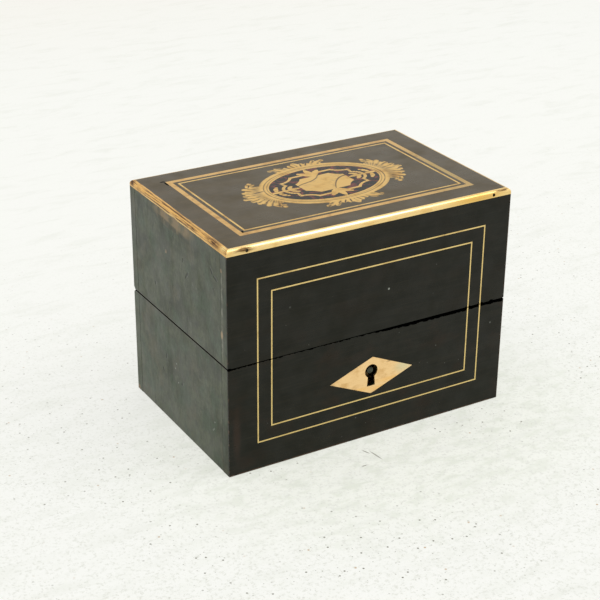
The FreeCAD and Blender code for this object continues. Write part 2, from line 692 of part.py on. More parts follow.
def ribbon_edge(grow):
    """The wavy ribbon's outline, moved out by a distance from its middle line."""
    far = size("ribbon_length") / 2 + grow
    deep = size("ribbon_depth") / 2 + grow
    # The waist points of a quarter, in leaf units from the ribbon's corner box
    flat = (far - 9.4 * unit - 0.4 * grow, deep)
    dip = (far - 6.6 * unit - 0.7 * grow, deep - 2.6 * unit - 0.2 * grow)
    cusp = (far - 2.8 * unit, deep - 3.6 * unit)
    step = (far - 3.3 * unit, deep - 6.6 * unit - 0.5 * grow)
    bulge = (far - 0.9 * unit, deep - 8.6 * unit - 0.6 * grow)
    quarter = [("arc", flat, dip, cusp), ("line", cusp, step), ("arc", step, bulge, (far, 0))]

    def flipped(points, across, along):
        return [FreeCAD.Vector(across * x, along * y, 0) for x, y in points]

    edges = []
    for across, along in ((1, 1), (1, -1), (-1, -1), (-1, 1)):
        for kind, *points in quarter:
            vectors = flipped(points, across, along)
            if kind == "arc":
                edges.append(Part.Arc(*vectors).toShape())
            else:
                edges.append(Part.makeLine(*vectors))
    for along in (1, -1):
        ends = flipped((flat,), 1, along) + flipped((flat,), -1, along)
        edges.append(Part.makeLine(*ends))
    return Part.Face(Part.Wire(Part.__sortEdges__(edges)))


# Sprigs that tie ribbon, oval and plaque: start, tip, width, bow in leaf units
BACK_SPRIG = ((0.0, -3.6), (4.9, 2.4), 3.0, 0.4)
OUTER_SPRIG = ((3.4, 0.3), (0.9, 5.2), 2.0, -0.4)
INNER_SPRIG = ((-2.4, 0.0), (-5.0, 3.4), 1.9, -0.3)
INNER_STEM = ((0.4, 0.0), (-7.6, 0.0), 2.0)
BACK_LOBE = 0.8
SIDE_LOBE = 0.65
# Stems that end on the oval: foot past the ribbon, tip past the oval's inside, width
BACK_STEM = (-4.2, 0.0, 3.0)
OUTER_STEM = (0.2, 0.6, 2.2)


def sprigs():
    """The four small sprigs, two of them with a leaf each side of the ribbon."""
    edge = size("ribbon_depth") / 2
    end = size("ribbon_length") / 2
    oval_edge = half_depth - size("oval_band")
    oval_end = half_length - size("oval_band")
    back = both_ways(lobed([BACK_SPRIG], BACK_LOBE, 0, edge), X_AXIS)
    foot, tip, width = BACK_STEM
    back.append(leaf((0, edge + foot * unit), (0, oval_edge + tip * unit), width * unit))
    side = both_ways(lobed((OUTER_SPRIG, INNER_SPRIG), SIDE_LOBE, end), Y_AXIS)
    foot, tip, width = OUTER_STEM
    side.append(leaf((oval_end + tip * unit, 0), (end + foot * unit, 0), width * unit))
    side.append(table_leaf(INNER_STEM, end))
    return both_ways(back, Y_AXIS) + both_ways(side, X_AXIS)


def plaque_face():
    """The plaque: a rectangle whose corners are hollowed by shallow arcs."""
    far = size("plaque_length") / 2
    deep = size("plaque_depth") / 2
    along = (far - 4.6 * unit, deep)
    hollow = (far - 2.7 * unit, deep - 2.3 * unit)
    across = (far, deep - 4.0 * unit)
    edges = []
    for sign_x, sign_y in ((1, 1), (1, -1), (-1, -1), (-1, 1)):
        points = [FreeCAD.Vector(sign_x * x, sign_y * y, 0) for x, y in (along, hollow, across)]
        edges.append(Part.Arc(*points).toShape())
    for sign in (1, -1):
        for first, last in (((-along[0], sign * deep), (along[0], sign * deep)),
                            ((sign * far, -across[1]), (sign * far, across[1]))):
            edges.append(Part.makeLine(FreeCAD.Vector(*first, 0), FreeCAD.Vector(*last, 0)))
    return Part.Face(Part.Wire(Part.__sortEdges__(edges)))


def inlay(name, shape):
    """A piece of the cartouche, in its place on the lid."""
    item = doc.addObject("Part::Feature", name)
    item.Shape = shape
    put(item, ("oval_right", "oval_back", "0"), FreeCAD.Rotation(Z_AXIS, 1))
    return bind(item, **{"Placement.Rotation.Angle": "oval_turn"})


ends = both_ways(palmette(), X_AXIS) + both_ways(crest(), Y_AXIS)
hole = oval(half_length - size("oval_band"), half_depth - size("oval_band"))
whole_frame = thick([oval(half_length, half_depth), *ends])
hole_solid = thick([hole])
ribbon_outside, ribbon_inside = [thick([ribbon_edge(side * size("ribbon_width") / 2)]) for side in (1, -1)]
plaque = thick([plaque_face()])
ribbon_band = ribbon_outside.cut(ribbon_inside)
vine = ribbon_band.fuse(thick(sprigs())).common(hole_solid).cut(plaque).removeSplitter()

piece(inlay("inlay_oval_frame", whole_frame.cut(hole_solid).removeSplitter()))
piece(inlay("inlay_ribbon", vine))
piece(inlay("inlay_plaque", plaque))
piece(inlay("shell_ground", hole_solid.cut([vine, plaque])))
cartouche_bed = inlay("cartouche_bed", whole_frame.fuse(hole_solid).removeSplitter())

veneer_blank = block("top_veneer_blank", (LAP_LEFT, LAP_FRONT, VENEER_FOOT),
                     (LAP_RIGHT, LAP_BACK, "box_height"))
piece(cut("top_veneer", veneer_blank, top_band, top_line, cartouche_bed))

# Front: veneer, strings in two U shapes on each half, and the escutcheon

STRING_BACK = "(-box_depth / 2 + inlay_depth)"


def string_hoop(name, step, low, high):
    """One U of string: its outer box less its inner box. It is open at the seam."""
    side = f"(string_side + {step})"
    left = f"{LEFT} + {side} + string_right"
    right = f"{RIGHT} - {side} + string_right"
    outer = block(f"{name}_outer", (left, FRONT, low), (right, STRING_BACK, high))
    inner_low = f"{low} + string_width" if high == BASE_RIM else low
    inner_high = high if high == BASE_RIM else f"{high} - string_width"
    inner = block(f"{name}_inner", (f"{left} + string_width", FRONT, inner_low),
                  (f"{right} - string_width", STRING_BACK, inner_high))
    return cut(name, outer, inner)


LOZENGE_TIPS = (
    ("- lozenge_length / 2 * cos(lozenge_turn)", "+ lozenge_length / 2 * sin(lozenge_turn)"),
    ("- lozenge_height / 2 * sin(lozenge_turn)", "- lozenge_height / 2 * cos(lozenge_turn)"),
    ("+ lozenge_length / 2 * cos(lozenge_turn)", "- lozenge_length / 2 * sin(lozenge_turn)"),
    ("+ lozenge_height / 2 * sin(lozenge_turn)", "+ lozenge_height / 2 * cos(lozenge_turn)"),
)
lozenge = upright("lozenge", [
    (f"lozenge_right {across}", f"{LOZENGE_RISE} {up}") for across, up in LOZENGE_TIPS
], FRONT, "inlay_depth")
# A string that meets the escutcheon stops at its edge
base_strings = piece(group("base_strings", *[
    cut(f"base_string_{place}", string_hoop(f"base_hoop_{place}", step, low, BASE_RIM), lozenge)
    for place, step, low in (("outer", "0", "(string_low)"),
                             ("inner", "string_step", "(string_low + string_step)"))
]))
lid_strings = piece(group(
    "lid_strings",
    string_hoop("lid_string_outer", "0", LID_RIM, "(box_height - string_high)"),
    string_hoop("lid_string_inner", "string_step", LID_RIM, "(box_height - string_high - string_step)"),
))

piece(cut("escutcheon", lozenge, keyhole("escutcheon_keyhole", FRONT, "inlay_depth")))
base_veneer_blank = block("base_veneer_blank", (LEFT, FRONT, "0"), (RIGHT, BOARD_FRONT, BASE_RIM))
piece(cut("base_front_veneer", base_veneer_blank, base_strings, lozenge,
          keyhole("veneer_keyhole", FRONT, "veneer", "keyhole_ease")))
lid_veneer_blank = block("lid_veneer_blank", (LEFT, FRONT, LID_RIM), (RIGHT, BOARD_FRONT, MOULDING_FOOT))
piece(cut("lid_front_veneer", lid_veneer_blank, lid_strings))

# Hinges: a leaf flush in each rim, knuckles in the groove between the stop bevels

BASE_KNUCKLE = "((hinge_length - hinge_middle) / 2 - knuckle_gap)"


def knuckles(name, middle, half, radius, grow="0"):
    """The barrel lengths that belong to one half of a hinge."""
    if half == "lid":
        return [rod(f"{name}_barrel", radius, f"hinge_middle + 2 * {grow}",
                    (f"{middle} - hinge_middle / 2 - {grow}", AXIS_Y, "seam_height"), "X")]
    starts = (f"{middle} - hinge_length / 2", f"{middle} + hinge_middle / 2 + knuckle_gap")
    return [rod(f"{name}_barrel_{index + 1}", radius, f"{BASE_KNUCKLE} + 2 * {grow}",
                (f"{start} - {grow}", AXIS_Y, "seam_height"), "X")
            for index, start in enumerate(starts)]


def hinge_leaf(name, middle, half):
    """One leaf with its knuckles, its bore and its countersunk holes."""
    low, high = leaf_heights(half)
    other = "lid" if half == "base" else "base"
    start = f"{middle} - hinge_length / 2"
    plate = block(f"{name}_plate", (start, BACK_INNER, low), (f"{start} + hinge_length", AXIS_Y, high))
    notch = fuse(f"{name}_notch", *knuckles(f"{name}_other", middle, other,
                                            "knuckle_radius + knuckle_gap", "knuckle_gap"))
    blank = fuse(f"{name}_blank", cut(f"{name}_notched", plate, notch),
                 *knuckles(f"{name}_own", middle, half, "knuckle_radius"))
    bore = rod(f"{name}_bore", "hinge_pin_radius + pin_play", "hinge_length",
               (start, AXIS_Y, "seam_height"), "X")
    return cut(name, blank, bore, *[screw_solid(f"{name}_screw_{index + 1}", at, half)
                                    for index, at in enumerate(hinge_screw_places(middle))])


def screw_solid(name, at, half):
    """A countersunk wood screw whose head is flush with the rim it holds a leaf to."""
    down = half == "base"
    rim = BASE_RIM if down else LID_RIM
    foot = f"({rim} - screw_length)" if down else rim
    head_foot = f"({rim} - screw_head_depth)" if down else rim
    first, last = "screw_shank_radius", "screw_head_radius"
    head = cone(f"{name}_head", first if down else last, last if down else first,
                "screw_head_depth", (*at, head_foot), TURNS["Z"])
    shank = rod(f"{name}_shank", "screw_shank_radius", "screw_length", (*at, foot))
    return fuse(name, head, shank)


def slotted(name, blank, at, half):
    """A screw with its slot cut."""
    rim = BASE_RIM if half == "base" else LID_RIM
    low = f"{rim} - screw_slot" if half == "base" else rim
    high = rim if half == "base" else f"{rim} + screw_slot"
    slot = block(f"{name}_slot", (f"{at[0]} - screw_head_radius", f"{at[1]} - screw_slot / 2", low),
                 (f"{at[0]} + screw_head_radius", f"{at[1]} + screw_slot / 2", high))
    return cut(name, blank, slot)


for half in ("base", "lid"):
    leaves = [hinge_leaf(f"hinge_{half}_leaf_{side}", middle, half) for side, middle in hinge_centres()]
    screws = [slotted(f"hinge_{half}_screw_{side}_{index + 1}",
                      screw_solid(f"hinge_{half}_screw_{side}_{index + 1}_blank", at, half), at, half)
              for side, middle in hinge_centres()
              for index, at in enumerate(hinge_screw_places(middle))]
    piece(group(f"hinge_{half}_leaves", *leaves))
    piece(group(f"hinge_{half}_screws", *screws))
piece(group("hinge_pins", *[
    rod(f"hinge_pin_{side}", "hinge_pin_radius", "hinge_length",
        (f"{middle} - hinge_length / 2", AXIS_Y, "seam_height"), "X")
    for side, middle in hinge_centres()
]))

# Lock: plate with a selvedge in the rim, case, drill pin, bolt, bow spring

BOLT_FRONT = f"(({CASE_FRONT} + lock_wall + {PLATE_BACK}) / 2 - bolt_thickness / 2)"
BOLT_BACK = f"({BOLT_FRONT} + bolt_thickness)"
BOLT_TOP = f"({BASE_RIM} - bolt_drop)"
BOLT_FOOT = f"({BASE_RIM} - bolt_drop - bolt_height)"
BOLT_MID = f"({BOLT_TOP} - bolt_height / 2)"
HOOK_FOOT = f"({LID_RIM} - hook_drop)"
TOE_TOP = f"({HOOK_FOOT} + hook_toe)"
TOOTH_FOOT = f"({TOE_TOP} + tooth_gap)"
TOOTH_TOP = f"({TOOTH_FOOT} + tooth_height)"
hook_places = [f"({side} * hook_spread)" for side in (-1, 1)]
stud_places = [f"({side} * stud_spread)" for side in (-1, 1)]


def hook_slot(index, post):
    """The slot in the selvedge that a hook drops through."""
    return block(f"hook_slot_{index}",
                 (f"{post} - hook_width - hook_room", f"{BOLT_FRONT} - hook_room", SELVEDGE_FOOT),
                 (f"{post} + hook_width + hook_room", f"{BOLT_BACK} + hook_room", BASE_RIM))


plate_blank = fuse(
    "lock_plate_blank",
    block("lock_back_plate", (PLATE_LEFT, PLATE_BACK, PLATE_FOOT), (PLATE_RIGHT, PLATE_FACE, BASE_RIM)),
    block("lock_selvedge", (PLATE_LEFT, CASE_FRONT, SELVEDGE_FOOT), (PLATE_RIGHT, PLATE_FACE, BASE_RIM)),
    *[rod(f"guide_stud_{index + 1}", "stud_radius", f"lock_depth - lock_wall",
          (across, f"{CASE_FRONT} + lock_wall", BOLT_MID), "Y")
      for index, across in enumerate(stud_places)],
)


def lock_screw(name, at):
    """A lock screw, driven from inside the box towards the front."""
    across, height = at
    shank = rod(f"{name}_shank", "screw_shank_radius", "lock_screw_length",
                (across, f"{PLATE_FACE} - lock_screw_length", height), "Y")
    head = cone(f"{name}_head", "screw_shank_radius", "screw_head_radius", "screw_head_depth",
                (across, f"{PLATE_FACE} - screw_head_depth", height), TURNS["Y"])
    return fuse(name, shank, head)


lock_screw_blanks = [lock_screw(f"lock_screw_{index + 1}_blank", at)
                     for index, at in enumerate(lock_screw_places())]
piece(cut("lock_plate", plate_blank, *[hook_slot(index + 1, post) for index, post in enumerate(hook_places)],
          *lock_screw_blanks))
piece(group("lock_screws", *[
    cut(f"lock_screw_{index + 1}", blank,
        block(f"lock_screw_{index + 1}_slot",
              (f"{at[0]} - screw_head_radius", f"{PLATE_FACE} - screw_slot", f"{at[1]} - screw_slot / 2"),
              (f"{at[0]} + screw_head_radius", PLATE_FACE, f"{at[1]} + screw_slot / 2")))
    for index, (blank, at) in enumerate(zip(lock_screw_blanks, lock_screw_places()))
]))

case_blank = block("lock_case_blank", (lock_left, CASE_FRONT, CASE_FOOT),
                   (lock_right, PLATE_BACK, SELVEDGE_FOOT))
case_cavity = block("lock_cavity",
                    (f"{lock_left} + lock_wall", f"{CASE_FRONT} + lock_wall", f"{CASE_FOOT} + lock_wall"),
                    (f"{lock_right} - lock_wall", PLATE_BACK, SELVEDGE_FOOT))
piece(cut("lock_case", case_blank, case_cavity, keyhole("case_keyhole", CASE_FRONT, "lock_wall")))
PIN_FRONT = f"({BOARD_FRONT} + drill_pin_sink)"
piece(rod("drill_pin", "drill_pin_radius", f"{PLATE_BACK} - {PIN_FRONT}", ("0", PIN_FRONT, KEY_RISE), "Y"))

bar = block("bolt_bar", ("-hook_spread - 2 * hook_width - bolt_travel - hook_room", BOLT_FRONT, BOLT_FOOT),
            ("bolt_length / 2", BOLT_BACK, BOLT_TOP))
claws = []
for index, post in enumerate(hook_places):
    tooth_right = f"({post} - hook_width - hook_room)"
    tooth_left = f"({tooth_right} - bolt_travel)"
    claws.append(block(f"bolt_tooth_{index + 1}", (tooth_left, BOLT_FRONT, TOOTH_FOOT),
                       (tooth_right, BOLT_BACK, TOOTH_TOP)))
    claws.append(block(f"bolt_arm_{index + 1}", (f"{tooth_left} - hook_width", BOLT_FRONT, BOLT_MID),
                       (tooth_left, BOLT_BACK, TOOTH_TOP)))
SPRING_X = "(hook_width - hook_spread + spring_radius + spring_side)"
SPRING_FOOT = f"({SELVEDGE_FOOT} - spring_radius)"
boss = block("bolt_boss", (f"{SPRING_X} - boss_width / 2 - bolt_travel", BOLT_FRONT, BOLT_MID),
             (f"{SPRING_X} + boss_width / 2", BOLT_BACK, f"{SPRING_FOOT} - spring_rest"))
bolt_blank = fuse("lock_bolt_blank", bar, boss, *claws)
talon = block("bolt_talon", ("-talon_width / 2", BOLT_FRONT, BOLT_FOOT),
              ("talon_width / 2", BOLT_BACK, f"{BOLT_FOOT} + talon_height"))
slots = []
for index, across in enumerate(stud_places):
    reach = "(stud_radius + stud_play)"
    slots.append(fuse(
        f"bolt_slot_{index + 1}",
        block(f"bolt_slot_{index + 1}_run", (f"{across} - bolt_travel", BOLT_FRONT, f"{BOLT_MID} - {reach}"),
              (across, BOLT_BACK, f"{BOLT_MID} + {reach}")),
        rod(f"bolt_slot_{index + 1}_start", reach, "bolt_thickness", (across, BOLT_FRONT, BOLT_MID), "Y"),
        rod(f"bolt_slot_{index + 1}_end", reach, "bolt_thickness",
            (f"{across} - bolt_travel", BOLT_FRONT, BOLT_MID), "Y"),
    ))
piece(cut("lock_bolt", bolt_blank, talon, *slots))

spring_middle = (SPRING_X, BOLT_FRONT, SELVEDGE_FOOT)
spring_ring = cut("spring_ring",
                  rod("spring_outside", "spring_radius", "bolt_thickness", spring_middle, "Y"),
                  rod("spring_inside", "spring_radius - spring_thickness", "bolt_thickness",
                      spring_middle, "Y"))
spring_half = block("spring_half", (f"{SPRING_X} - spring_radius", BOLT_FRONT, SPRING_FOOT),
                    (f"{SPRING_X} + spring_radius", BOLT_BACK, SELVEDGE_FOOT))
piece(common("bolt_spring", spring_ring, spring_half))

# Striker: the plate in the lid's rim whose hooks drop into the lock

striker_parts = [block("striker_bar", (PLATE_LEFT, CASE_FRONT, LID_RIM),
                       (PLATE_RIGHT, FRONT_INNER, f"{LID_RIM} + plate_thickness"))]
for index, post in enumerate(hook_places):
    striker_parts.append(block(f"hook_post_{index + 1}", (post, BOLT_FRONT, HOOK_FOOT),
                               (f"{post} + hook_width", BOLT_BACK, f"{LID_RIM} + plate_thickness")))
    striker_parts.append(block(f"hook_toe_{index + 1}", (f"{post} - hook_width", BOLT_FRONT, HOOK_FOOT),
                               (f"{post} + hook_width", BOLT_BACK, TOE_TOP)))
STRIKER_MID = f"(({CASE_FRONT} + {FRONT_INNER}) / 2)"
striker_places = [(f"({side} * (lock_width / 2))", STRIKER_MID) for side in (-1, 1)]
striker_blanks = [screw_solid(f"striker_screw_{index + 1}_blank", at, "lid")
                  for index, at in enumerate(striker_places)]
piece(cut("striker_plate", fuse("striker_blank", *striker_parts), *striker_blanks))
piece(group("striker_screws", *[
    slotted(f"striker_screw_{index + 1}", blank, at, "lid")
    for index, (blank, at) in enumerate(zip(striker_blanks, striker_places))
]))

# Linings, dividers and the padded silk in the lid

IN_LEFT = f"({LEFT_INNER} + lining)"
IN_RIGHT = f"({RIGHT_INNER} - lining)"
IN_FRONT = f"({FRONT_INNER} + lining)"
IN_BACK = f"({BACK_INNER} - lining)"
piece(block("floor_lining", (LEFT_INNER, FRONT_INNER, "floor_board"), (RIGHT_INNER, BACK_INNER, FLOOR)))
BASE_LINING_TOP = f"({BASE_RIM} - lining_drop)"
LID_LINING_FOOT = f"({LID_RIM} + lining_drop)"
base_sleeve = block("base_sleeve", (LEFT_INNER, FRONT_INNER, FLOOR),
                    (RIGHT_INNER, BACK_INNER, BASE_LINING_TOP))
base_hollow = block("base_hollow", (IN_LEFT, IN_FRONT, FLOOR), (IN_RIGHT, IN_BACK, BASE_LINING_TOP))
plate_window = block("plate_window", (PLATE_LEFT, FRONT_INNER, PLATE_FOOT),
                     (PLATE_RIGHT, PLATE_FACE, BASE_RIM))
piece(cut("base_wall_lining", base_sleeve, base_hollow, plate_window))
lid_sleeve = block("lid_sleeve", (LEFT_INNER, FRONT_INNER, LID_LINING_FOOT),
                   (RIGHT_INNER, BACK_INNER, CEILING))
lid_hollow = block("lid_hollow", (IN_LEFT, IN_FRONT, LID_LINING_FOOT), (IN_RIGHT, IN_BACK, CEILING))
piece(cut("lid_wall_lining", lid_sleeve, lid_hollow))
piece(block("lid_pad", (f"{IN_LEFT} + pad_room", f"{IN_FRONT} + pad_room", f"{CEILING} - lid_pad_depth"),
            (f"{IN_RIGHT} - pad_room", f"{IN_BACK} - pad_room", CEILING)))

WELL_WIDTH = f"(({IN_RIGHT} - {IN_LEFT} - 2 * divider) / 3)"
WELL_DEPTH = f"(({IN_BACK} - {IN_FRONT} - divider) / 2)"
DIVIDER_TOP = f"({FLOOR} + divider_height)"
DIVIDER_HALF = f"({FLOOR} + divider_height / 2)"
cross_lefts = [f"({side} * ({WELL_WIDTH} + divider) / 2 - divider / 2)" for side in (-1, 1)]
LONG_FRONT = f"({MIDDLE_Y} - divider / 2)"
LONG_BACK = f"({MIDDLE_Y} + divider / 2)"
long_blank = block("divider_long_blank", (IN_LEFT, LONG_FRONT, FLOOR), (IN_RIGHT, LONG_BACK, DIVIDER_TOP))
long_slots = [block(f"long_slot_{index + 1}", (left, LONG_FRONT, DIVIDER_HALF),
                    (f"{left} + divider", LONG_BACK, DIVIDER_TOP))
              for index, left in enumerate(cross_lefts)]
piece(cut("divider_long", long_blank, *long_slots))
crosses = []
for index, left in enumerate(cross_lefts):
    right = f"{left} + divider"
    blank = block(f"divider_cross_{index + 1}_blank", (left, IN_FRONT, FLOOR), (right, IN_BACK, DIVIDER_TOP))
    slot = block(f"cross_slot_{index + 1}", (left, LONG_FRONT, FLOOR), (right, LONG_BACK, DIVIDER_HALF))
    crosses.append(cut(f"divider_cross_{index + 1}", blank, slot))
piece(group("divider_crosses", *crosses))

# Bottles and stoppers


def edges_where(shape, test):
    """Numbers of the edges of a shape that pass a test on their two ends."""
    found = []
    for number, edge in enumerate(shape.Edges, start=1):
        first, last = edge.Vertexes[0].Point, edge.Vertexes[-1].Point
        if test(first, last):
            found.append(number)
    return found


def chamfered(name, base, width, test):
    """A solid with its chosen edges chamfered."""
    doc.recompute()
    item = doc.addObject("Part::Chamfer", name)
    item.Base = base
    item.Edges = [(number, width, width) for number in edges_where(base.Shape, test)]
    return item


def lies_at(height):
    """A test for an edge that lies flat at a height."""
    def test(first, last):
        return abs(first.z - height) < 1e-6 and abs(last.z - height) < 1e-6

    return test


BOTTLE_TOP = "(bottle_body + neck_height + lip_height)"
BOTTLE_HALF = f"(min({WELL_WIDTH}; {WELL_DEPTH}) / 2 - bottle_room)"


def glass_block(name, half, foot, top, chamfer):
    """A square block with cut corners whose top slopes in on all four sides."""
    spring = f"({top}) - shoulder"
    low = block(f"{name}_low", (f"-({half})", f"-({half})", foot), (half, half, spring))
    slope = doc.addObject("Part::Wedge", f"{name}_slope")
    bind(slope, Xmin=f"-({half})", Xmax=half, Zmin=f"-({half})", Zmax=half, Ymin="0", Ymax="shoulder",
         X2min=f"shoulder - ({half})", X2max=f"({half}) - shoulder",
         Z2min=f"shoulder - ({half})", Z2max=f"({half}) - shoulder")
    put(slope, ("0", "0", spring), FreeCAD.Rotation(X_AXIS, 90))
    # The corners are cut by a block that stands diagonally
    reach = f"((2 * ({half}) - {chamfer}) / sqrt(2))"
    diagonal = doc.addObject("Part::Box", f"{name}_diagonal")
    bind(diagonal, Length=f"2 * {reach}", Width=f"2 * {reach}", Height=f"({top}) - ({foot})")
    put(diagonal, ("0", f"-{reach} * sqrt(2)", foot), FreeCAD.Rotation(Z_AXIS, 45))
    return common(name, fuse(f"{name}_blank", low, slope), diagonal)


def bottle_pattern():
    """The bottle at the middle of the floor: a cut square body, a round neck, a hollow."""
    body = glass_block("bottle_body_block", BOTTLE_HALF, "0", "bottle_body", "bottle_chamfer")
    neck = rod("bottle_neck", "neck_radius", "neck_height + lip_height", ("0", "0", "bottle_body"))
    lip = rod("bottle_lip", "lip_radius", "lip_height", ("0", "0", "bottle_body + neck_height"))
    hollow = glass_block("bottle_hollow", f"{BOTTLE_HALF} - glass", "bottle_foot", "bottle_body - glass",
                         "bottle_chamfer / 2")
    bore = rod("bottle_bore", "neck_bore", f"{BOTTLE_TOP} - bottle_foot", ("0", "0", "bottle_foot"))
    return cut("bottle_pattern", fuse("bottle_outside", body, neck, lip), hollow, bore)


def stopper_pattern():
    """The stopper: a tapered plug, a collar and a knob cut in eight facets."""
    plug = cone("plug", "neck_bore - stopper_play - plug_taper", "neck_bore - stopper_play", "plug_length",
                ("0", "0", f"{BOTTLE_TOP} - plug_length"), TURNS["Z"])
    collar = rod("stopper_collar", "collar_radius", "collar_height", ("0", "0", BOTTLE_TOP))
    knob = doc.addObject("Part::Prism", "stopper_knob")
    knob.Polygon = 8
    bind(knob, Circumradius="knob_radius", Height="knob_height")
    put(knob, ("0", "0", f"{BOTTLE_TOP} + collar_height"), FreeCAD.Rotation(Z_AXIS, 22.5))
    foot = size("bottle_body") + size("neck_height") + size("lip_height") + size("collar_height")
    head = foot + size("knob_height")
    low, high = lies_at(foot), lies_at(head)
    cut_knob = chamfered("stopper_cut_knob", knob, size("knob_chamfer"),
                         lambda first, last: low(first, last) or high(first, last))
    return fuse("stopper_pattern", plug, collar, cut_knob)


bottle = bottle_pattern()
stopper = stopper_pattern()
doc.recompute()


def copies(kind, pattern, column, row_name, across, deep):
    """A copy of the bottle or stopper in its well."""
    item = doc.addObject("Part::Feature", f"{kind}_{row_name}_{column}")
    item.Shape = pattern.Shape
    return put(item, (across, deep, FLOOR))


columns = (("left", f"(-{WELL_WIDTH} - divider)"), ("middle", "0"), ("right", f"({WELL_WIDTH} + divider)"))
rows = (("front", f"({MIDDLE_Y} - divider / 2 - {WELL_DEPTH} / 2)"),
        ("back", f"({MIDDLE_Y} + divider / 2 + {WELL_DEPTH} / 2)"))
for kind, pattern in (("bottle", bottle), ("stopper", stopper)):
    for row_name, deep in rows:
        for column, across in columns:
            piece(copies(kind, pattern, column, row_name, across, deep))

# Checks, then one file for each piece

doc.recompute()
failed = [item.Name for item in doc.Objects if "Invalid" in item.State or "Error" in item.State]
if failed:
    raise RuntimeError(f"these objects failed: {failed}")
for item in PIECES:
    shape = item.Shape
    if shape.isNull() or not shape.isValid() or not shape.Solids:
        raise RuntimeError(f"{item.Label} has no sound solid")
    shape.exportStep(f"parts/{item.Label}.step")
    print(f"{item.Label:24s} {len(shape.Solids):2d} solids {shape.Volume:10.2f} mm3")
print(len(PIECES), "pieces")
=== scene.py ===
import functools
import logging
import math
import operator
from dataclasses import dataclass
from enum import Enum
from typing import Sequence

import bmesh
import bpy
from mathutils import Euler, Matrix, Vector, noise


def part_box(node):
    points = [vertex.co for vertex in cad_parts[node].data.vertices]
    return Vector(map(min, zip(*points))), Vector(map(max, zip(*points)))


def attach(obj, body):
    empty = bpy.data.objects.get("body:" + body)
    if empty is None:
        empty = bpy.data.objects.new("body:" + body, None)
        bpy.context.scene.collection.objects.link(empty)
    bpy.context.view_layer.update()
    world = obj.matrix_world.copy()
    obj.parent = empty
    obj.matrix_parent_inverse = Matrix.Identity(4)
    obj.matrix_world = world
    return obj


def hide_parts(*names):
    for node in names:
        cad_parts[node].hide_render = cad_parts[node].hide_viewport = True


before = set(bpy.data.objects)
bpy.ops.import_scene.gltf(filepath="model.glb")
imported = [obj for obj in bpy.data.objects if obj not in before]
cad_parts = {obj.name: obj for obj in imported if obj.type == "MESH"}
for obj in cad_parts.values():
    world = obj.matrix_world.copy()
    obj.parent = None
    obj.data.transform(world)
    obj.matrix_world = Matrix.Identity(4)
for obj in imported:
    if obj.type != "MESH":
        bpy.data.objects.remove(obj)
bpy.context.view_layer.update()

MM = 0.001
SEAM = 47.4
RIM = 47.2
FRONT = -42.0
LEFT = -65.0
TOP = 96.5
KEYHOLE = (0.0, -39.5, 28.0)
FOOT_CORNER = (LEFT, -40.0, 2.0)
ENDLESS = 1e6
WELD = 0.002
CRISP_ANGLE = 28
EASED_ANGLE = 40
CLOSE = 0.1

LOG = logging.getLogger("casket")
ROWS = ("front", "back")
COLUMNS = ("left", "middle", "right")
Tone = tuple[float, float, float]
Pair = tuple[float, float]

# Chips in the front's rim, painted black as shade in the open seam: place across, radius.
SHADED_RIM_CHIPS = ((46.6, 1.9), (53.0, 2.2), (58.5, 1.5))
# Painted highlights: bright glints put into the colour of the front's polish: place, strength.
PAINTED_GLINTS = (((7.1, FRONT, 64.9), 1.0), ((58.8, FRONT, 37.5), 0.3), ((-38.0, FRONT, 67.5), 0.15))
# Open joints in the veneer of the top, across and deep.
OPEN_JOINTS = (((-56.4, 32.6), (-53.2, 32.4)), ((-54.3, 33.0), (-54.3, 26.4)),
               ((-50.6, -27.2), (-52.0, -31.2)))
# Dents in the left side, deep and up.
DENTS = (((-28.6, 85.2), (-31.2, 82.4)), ((-30.6, 82.7), (-35.0, 81.4)), ((-10.6, 76.0), (-7.2, 71.6)),
         ((-5.8, 80.2), (-5.8, 77.8)), ((20.1, 60.0), (20.1, 58.0)), ((12.1, 31.0), (12.1, 27.8)),
         ((15.6, 23.0), (14.4, 20.6)), ((-2.8, 23.4), (-1.4, 21.6)))
# Chips in the left side: middle, radii.
BOARD_CHIPS = (((LEFT, -37.6, 87.0), (1.2, 1.0, 1.2)), ((LEFT, 9.6, 76.9), (1.0, 1.0, 1.1)),
               ((LEFT, 40.9, 1.2), (1.6, 1.4, 1.8)))
# Dusty points on the left side, deep and up.
DUST = ((-30.4, 19.0), (-28.8, 14.8), (-29.6, 15.6), (4.0, 27.0), (1.5, 21.5), (3.0, 29.5))
# The two scrolled edges inside the plaque, each the factors of a cubic in the cartouche's X.
SCROLL_EDGES = ((0.00502, 0.1019, 0.9028, 6.273), (0.00066, -0.0934, 1.9458, -8.510))
SEEN_RAYS = ("Is Camera Ray", "Is Glossy Ray", "Is Transmission Ray")


class Grain(Enum):
    """The axis that a board's grain or a strip's scratches run along."""

    ACROSS = 0
    DEEP = 1
    UP = 2


class Engraving(Enum):
    """What the graver has cut into a piece of the cartouche."""

    NONE = "none"
    OVAL = "oval"
    PLAQUE = "plaque"
    RIBBON = "ribbon"


